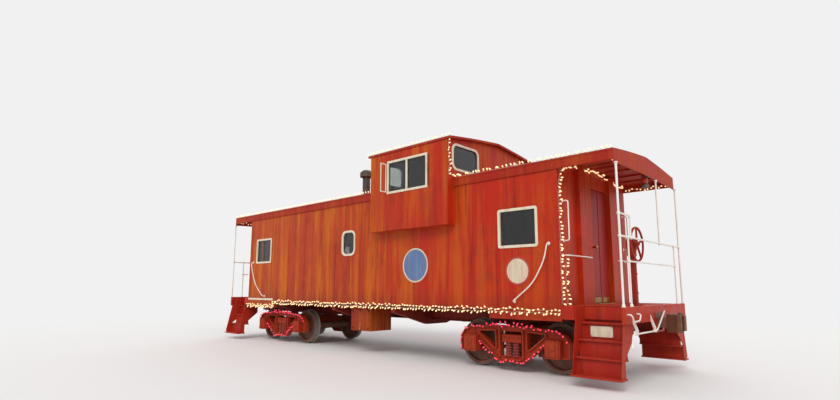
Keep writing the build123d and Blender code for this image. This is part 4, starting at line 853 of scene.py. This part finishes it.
for end, s in ENDS:
    joints = Mesh()
    for y in (-POST_Y, POST_Y, -INNER_Y, INNER_Y):
        joints.lathe(COLLAR, turned(s, RAIL_X, y, DECK_TOP), UP, 14)
    for y in (-POST_Y, POST_Y, ROD_Y):
        joints.lathe(COLLAR, turned(s, RAIL_X, y, ROOF_LO.z + 0.002), DOWN, 14)
    for y, z in BALLS:
        joints.lathe(BALL, turned(s, RAIL_X, y, z), UP, 14)
    for t in (-1, 1):
        for x, z in SIDE_FEET:
            joints.lathe(SIDE_FLANGE, (s * x, t * (SIDE_Y - 0.005), z), (0, t, 0), 14)
            for screw_z in (z - 0.02, z + 0.02):
                joints.bolt((s * x, t * (SIDE_Y - 0.005), screw_z), (0, t, 0), 0.005, 0.012)
    for y, z in END_FEET:
        joints.lathe(END_FLANGE, turned(s, HALF_LENGTH, y, z), (s, 0, 0), 14)
    joints.build(f"railing_fittings_{end}", red["white_paint"], "white_paint", smooth=True)

# Doors: beads round the leaf, kick plates, rose and knob; a brass threshold below
DOOR_FACE = HALF_LENGTH - 0.02
DOOR_BEAD = [(-0.11, 1.31), (0.492, 1.31), (0.492, 3.19), (-0.11, 3.19)]
KICK_Z = 1.245
KNOB_Y, KNOB_Z = -0.08, FLOOR_TOP + 1.0
ROSE = [(0.04, 0), (0.04, 0.003), (0.036, 0.006)]
KNOB = [(0.026, 0.044), (0.03, 0.05), (0.03, 0.066), (0.02, 0.076), (0.006, 0.079)]
for end, s in ENDS:
    beads, kick, sill = Mesh(), Mesh(), Mesh()
    out, door = (s, 0, 0), f"door_{end}"
    for (y0, z0), (y1, z1) in zip(DOOR_BEAD, DOOR_BEAD[1:] + DOOR_BEAD[:1]):
        bead = [turned(s, DOOR_FACE - SUNK, y, z) for y, z in ((y0, z0), (y1, z1))]
        beads.strip(bead, UP if z0 == z1 else ACROSS, out, 0.024, 0.007)
    beads.dress(f"door_beads_{end}", "door_crimson", door)
    for ends in ((-0.125, 0.15), (0.229, 0.505)):
        kick.strip([turned(s, DOOR_FACE - SUNK, y, KICK_Z) for y in ends], UP, out, 0.09, 0.004)
    for y in (-0.105, 0.13, 0.25, 0.485):
        for z in (KICK_Z - 0.03, KICK_Z + 0.03):
            kick.bolt(turned(s, DOOR_FACE + 0.002, y, z), out, 0.005, 0.004)
    for profile in (ROSE, KNOB):
        kick.lathe(profile, turned(s, DOOR_FACE, KNOB_Y, KNOB_Z), out, 20)
    kick.build(f"door_brass_{end}", brass, "door_crimson", door)
    sill.strip([turned(s, HALF_LENGTH + 0.035, y, DECK_TOP) for y in (-0.15, 0.53)], ALONG, UP, 0.09, 0.01)
    sill.build(f"threshold_{end}", brass, "step_red")

# Brake stands: base bolts, gear case cover, grip nut, ratchet lever, bands on the column
STAND_X, STAND_Y, STAND_Z = RAIL_X - 0.13, -0.6, DECK_TOP + 0.967
CASE_BOSS = [(0.05, 0), (0.05, 0.004), (0.036, 0.012)]
GRIP_NUT = [(0.042, 0), (0.042, 0.01), (0.022, 0.016), (0.022, 0.032), (0.01, 0.036)]
LEVER = [(-0.075, -0.15), (-0.13, -0.12), (-0.2, -0.02)]
LEVER_END = [(0.009, -0.014), (0.017, -0.006), (0.017, 0.006), (0.009, 0.014)]
for end, s in ENDS:
    stand = Mesh()
    out = (s, 0, 0)
    for dx in (-0.062, 0.062):
        for dy in (-0.062, 0.062):
            stand.bolt(turned(s, STAND_X + dx, STAND_Y + dy, DECK_TOP + 0.014), UP, 0.01, 0.012)
    cover = turned(s, STAND_X + 0.04, STAND_Y, STAND_Z)
    for k in range(8):
        a = 2 * pi * k / 8
        stand.bolt(cover + 0.085 * Vector((0, cos(a), sin(a))), out, 0.007, 0.007)
    stand.lathe(CASE_BOSS, cover, out, 20)
    stand.lathe(GRIP_NUT, turned(s, STAND_X + 0.09, STAND_Y, STAND_Z), out, 6)
    lever = [turned(s, STAND_X - 0.01, STAND_Y + dy, STAND_Z + dz) for dy, dz in LEVER]
    stand.tube(lever, 0.009, 8)
    stand.lathe(LEVER_END, lever[-1], UP, 12)
    for z in (DECK_TOP + 0.2, DECK_TOP + 0.5):
        band = [turned(s, STAND_X + 0.046, STAND_Y + dy, z) for dy in (-0.034, 0.034)]
        stand.strip(band, UP, out, 0.03, 0.006)
    stand.dress(f"brake_stand_fittings_{end}", "frame_red")

# Tool box: framed lid, hinges, hasp and padlock on the near face
lid, lock = Mesh(), Mesh()
face, out = TANK_LO.y, (0, -1, 0)
x0, x1, z0, z1 = TANK_LO.x + 0.03, TANK_HI.x - 0.03, TANK_LO.z + 0.035, TANK_HI.z - 0.09
middle = (x0 + x1) / 2
lid.strip([(x, face, (z0 + z1) / 2) for x in (x0, x1)], UP, out, z1 - z0, 0.008)
for x in (x0 + 0.03, middle, x1 - 0.03):
    lid.strip([(x, face - 0.007, z) for z in (z0 + 0.01, z1 - 0.01)], ALONG, out, 0.04, 0.008)
for z in (z0 + 0.025, z1 - 0.025):
    lid.strip([(x, face - 0.007, z) for x in (x0 + 0.01, x1 - 0.01)], UP, out, 0.04, 0.008)
for hinge in (x0 + 0.12, x1 - 0.12):
    lid.tube([(x, face - 0.012, z1 + 0.004) for x in (hinge - 0.05, hinge + 0.05)], 0.011, 10)
lid.dress("tool_box_lid", "body_red")
SHACKLE = [(-0.014, 0.035), (-0.014, 0.062), (0, 0.072), (0.014, 0.062), (0.014, 0.035)]
lock.strip([(middle, face - 0.014, z0 + rise) for rise in (0.02, 0.13)], ALONG, out, 0.035, 0.006)
lock.tube([(middle + shift, face - 0.03, z0 + rise) for shift, rise in SHACKLE], 0.004, 8)
lock.strip([(middle, face - 0.02, z0 + rise) for rise in (0.0, 0.04)], ALONG, out, 0.045, 0.02)
lock.build("tool_box_lock", brass, "jack_black")

# Smoke jack: bands and a ring of bolts
JACK_LO, JACK_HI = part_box("smoke_jack")
JACK_X, JACK_Y = (JACK_LO.x + JACK_HI.x) / 2, (JACK_LO.y + JACK_HI.y) / 2
JACK_SKIN = 0.094
bands = Mesh()
for z, r, high in ((3.72, 0.112, 0.03), (3.98, 0.1, 0.022), (4.2, 0.1, 0.022)):
    profile = [(JACK_SKIN, 0), (r, 0.002), (r + 0.003, high * 0.5), (r, high - 0.002), (JACK_SKIN, high)]
    bands.lathe(profile, (JACK_X, JACK_Y, z), UP, 32)
for k in range(8):
    way = Vector((cos(2 * pi * k / 8), sin(2 * pi * k / 8), 0))
    bands.bolt(Vector((JACK_X, JACK_Y, 4.09)) + 0.099 * way, way, 0.006, 0.006)
bands.dress("smoke_jack_bands", "jack_black")

# Cupola windows: a black hinge rod with three brackets at one edge, partly a hinge and partly painted
# shade, standing for the dark shadow strip beside the window
for side, t in SIDES:
    strip = Mesh()
    x = CUPOLA_MIDDLE - t * 0.595
    strip.tube([(x, t * (CUPOLA_SIDE + 0.012), z) for z in (3.45, 4.06)], 0.009, 8)
    for z in (3.5, 3.75, 4.01):
        bracket = [(x + shift, t * (CUPOLA_SIDE - 0.002), z) for shift in (-0.02, 0.02)]
        strip.strip(bracket, UP, (0, t, 0), 0.03, 0.012)
    strip.dress(f"deflector_hinge_shadow_{side}", "jack_black")

# Couplers: knuckle pin, wear plate and carrier bolts
COUPLER_LO, COUPLER_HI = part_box("couplers")
PIN_HEAD = [(0.02, 0), (0.034, 0.004), (0.034, 0.014), (0.026, 0.024), (0.008, 0.028)]
PIN_FOOT = [(0.02, 0), (0.03, 0.004), (0.03, 0.018), (0.012, 0.022)]
for end, s in ENDS:
    gear = Mesh()
    pin_x, pin_y, out = COUPLER_HI.x - 0.09, 0.075, (s, 0, 0)
    gear.lathe(PIN_HEAD, turned(s, pin_x, pin_y, COUPLER_HI.z - SUNK), UP, 16)
    gear.lathe(PIN_FOOT, turned(s, pin_x, pin_y, COUPLER_LO.z + SUNK), DOWN, 16)
    for y in (-0.19, -0.11, 0.11, 0.19):
        for z in (0.985, 1.04):
            gear.bolt((s * SILL_FACE, y, z), out, 0.013, 0.012)
    gear.strip([(s * SILL_FACE, y, 1.0125) for y in (-0.22, 0.22)], UP, out, 0.1, 0.006)
    gear.dress(f"coupler_fittings_{end}", "coupler_iron")

# Cabin: casings and sills of the windows, skirting and dado rail, ceiling lamps
LINING = SIDE_Y - WALL
LAMP_BASE = [(0.07, 0), (0.07, 0.015), (0.03, 0.03), (0.03, 0.06)]
LAMP_SHADE = [(0.05, 0.05), (0.11, 0.075), (0.12, 0.11), (0.09, 0.15), (0.02, 0.165)]
for side, t in SIDES:
    casing = Mesh()
    for x, z, width, height, corner, face_y in SIDE_PANES[:3]:
        loop = rounded(width + 0.09, height + 0.09, max(corner, 0.03))
        casing.tube([(x + a, t * (LINING - 0.002), z + b) for a, b in loop], 0.014, 8, closed=True)
        reach, sill_z = width / 2 + 0.06, z - height / 2 - 0.05
        sill = [(x + shift, t * (LINING - 0.02), sill_z) for shift in (-reach, reach)]
        casing.strip(sill, ACROSS, UP, 0.06, 0.018)
    inner = HALF_LENGTH - WALL - 0.01
    for z, width, height in ((1.25, 0.12, 0.015), (2.0, 0.05, 0.012)):
        casing.strip([(x, t * LINING, z) for x in (-inner, inner)], UP, (0, -t, 0), width, height)
    casing.build(f"window_casings_{side}", wood, "cabin_wood")
lamps, shades = Mesh(), Mesh()
for x in (-3.6, -1.9, 3.6):
    lamps.lathe(LAMP_BASE, (x, 0, roof_z(0) - 0.055), DOWN, 20)
    shades.lathe(LAMP_SHADE, (x, 0, roof_z(0) - 0.055), DOWN, 24)
lamps.build("cabin_lamp_bases", brass, "stove_iron")
shades.build("cabin_lamp_shades", emblem_cream, "cream_paint", smooth=True)

# Under the floor: brake pipe along the sill with its branches, bands and heads of the two vessels
PIPE_Y, PIPE_Z, VESSEL_Z = 0.275, 0.98, 0.9
VESSELS = [(-1.65, 0.52, 0.15, 0.21), (1.8, 0.56, 0.21, 0.45)]  # x, y, radius, half length
pipes, bands = Mesh(), Mesh()
pipes.tube([(x, PIPE_Y, PIPE_Z) for x in (-5.7, -4.9, 4.9, 5.7)], 0.021, 12)
for x, y, r, half in VESSELS:
    pipes.tube([(x, PIPE_Y, PIPE_Z), (x, 0.3, VESSEL_Z), (x, y - r + 0.01, VESSEL_Z)], 0.013, 10)
    band = [(r - 0.002, -0.018), (r + 0.006, -0.016), (r + 0.006, 0.016), (r - 0.002, 0.018)]
    head = [(r, 0), (r * 0.92, 0.012), (r * 0.5, 0.03), (0.02, 0.034)]
    for share in (-0.9, -0.25, 0.25, 0.9):
        bands.lathe(band, (x + share * half, y, VESSEL_Z), ALONG, 40)
    for k in (-1, 1):
        bands.lathe(head, (x + k * half, y, VESSEL_Z), (k, 0, 0), 36)
pipes.tube([(-1.86, 0.52, VESSEL_Z), (-2.1, 0.52, VESSEL_Z), (-2.1, 0.1, 0.86)], 0.018, 10)
pipes.dress("brake_pipes", "frame_red")
bands.dress("brake_gear_bands", "frame_red")

# Camera: solved from measured points of the photograph, whose frame is 840 by 400 pixels
CAMERA_PLACE = (8.638, -8.802, 1.431)
CAMERA_YAW = 0.7453
CAMERA_PITCH = 0.1457
CAMERA_ROLL = 0.0024
FOCAL_PIXELS = 502
SHIFT_PIXELS = 15.2
FRAME_WIDTH = 840
SENSOR = 36
lens = bpy.data.cameras.new("camera")
lens.sensor_width = SENSOR
lens.lens = FOCAL_PIXELS * SENSOR / FRAME_WIDTH
lens.shift_y = SHIFT_PIXELS / FRAME_WIDTH
lens.clip_end = 400
camera = bpy.data.objects.new("camera", lens)
camera.matrix_world = (
    Matrix.Translation(CAMERA_PLACE)
    @ Matrix.Rotation(CAMERA_YAW, 4, "Z")
    @ Matrix.Rotation(pi / 2 + CAMERA_PITCH, 4, "X")
    @ Matrix.Rotation(CAMERA_ROLL, 4, "Z")
)
bpy.context.scene.collection.objects.link(camera)
bpy.context.scene.camera = camera

# Floor and backdrop, one pale tone to the camera, and soft studio light
BACKDROP = 0.88
FADE_START, FADE_END = 9, 22
REACH = 150
floor = Finish("studio_floor", (0.84, 0.835, 0.83), 0.9)
distance = floor.length(floor.x, floor.y)
path = floor.add("ShaderNodeLightPath")
pale = floor.add("ShaderNodeEmission")
pale.inputs["Color"].default_value = (BACKDROP, BACKDROP, BACKDROP, 1)
blend = floor.add("ShaderNodeMixShader")
fade = floor.span(distance, FADE_START, FADE_END)
floor.feed(floor.times(fade, path.outputs["Is Camera Ray"]), blend.inputs[0])
floor.feed(floor.shader.outputs[0], blend.inputs[1])
floor.feed(pale.outputs[0], blend.inputs[2])
floor.feed(blend.outputs[0], floor.tree.nodes["Material Output"].inputs["Surface"])
mesh = bpy.data.meshes.new("studio_floor")
corners = [(-REACH, -REACH, 0), (REACH, -REACH, 0), (REACH, REACH, 0), (-REACH, REACH, 0)]
mesh.from_pydata(corners, [], [(0, 1, 2, 3)])
mesh.materials.append(floor.material)
ground = bpy.data.objects.new("studio_floor", mesh)
bpy.context.scene.collection.objects.link(ground)

world = bpy.data.worlds.new("studio")
bpy.context.scene.world = world
world.use_nodes = True
tree = world.node_tree
ambient = tree.nodes["Background"]
ambient.inputs["Color"].default_value = (0.97, 0.98, 1, 1)
ambient.inputs["Strength"].default_value = 0.6
backdrop = tree.nodes.new("ShaderNodeBackground")
backdrop.inputs["Color"].default_value = (BACKDROP, BACKDROP, BACKDROP, 1)
path = tree.nodes.new("ShaderNodeLightPath")
seen = path.outputs["Is Camera Ray"]
for ray in ("Is Glossy Ray", "Is Transmission Ray"):
    either = tree.nodes.new("ShaderNodeMath")
    either.operation = "MAXIMUM"
    tree.links.new(seen, either.inputs[0])
    tree.links.new(path.outputs[ray], either.inputs[1])
    seen = either.outputs[0]
blend = tree.nodes.new("ShaderNodeMixShader")
for index, value in enumerate((seen, ambient.outputs[0], backdrop.outputs[0])):
    tree.links.new(value, blend.inputs[index])
tree.links.new(blend.outputs[0], tree.nodes["World Output"].inputs["Surface"])

# Soft suns: name, direction the light travels, angular size, strength
SUNS = [
    ("key", (-0.35, 0.75, -0.75), 0.5, 1.35),
    ("end_fill", (-0.9, 0.25, -0.45), 0.8, 0.6),
    ("back_fill", (0.45, -0.8, -0.5), 0.9, 0.5),
]
for name, way, spread, strength in SUNS:
    lamp = bpy.data.lights.new(name, "SUN")
    lamp.angle = spread
    lamp.energy = strength
    lamp.color = (1, 0.98, 0.95)
    holder = bpy.data.objects.new(name, lamp)
    holder.rotation_euler = Vector(way).to_track_quat("-Z", "Y").to_euler()
    bpy.context.scene.collection.objects.link(holder)

bpy.context.scene.view_settings.view_transform = "Standard"
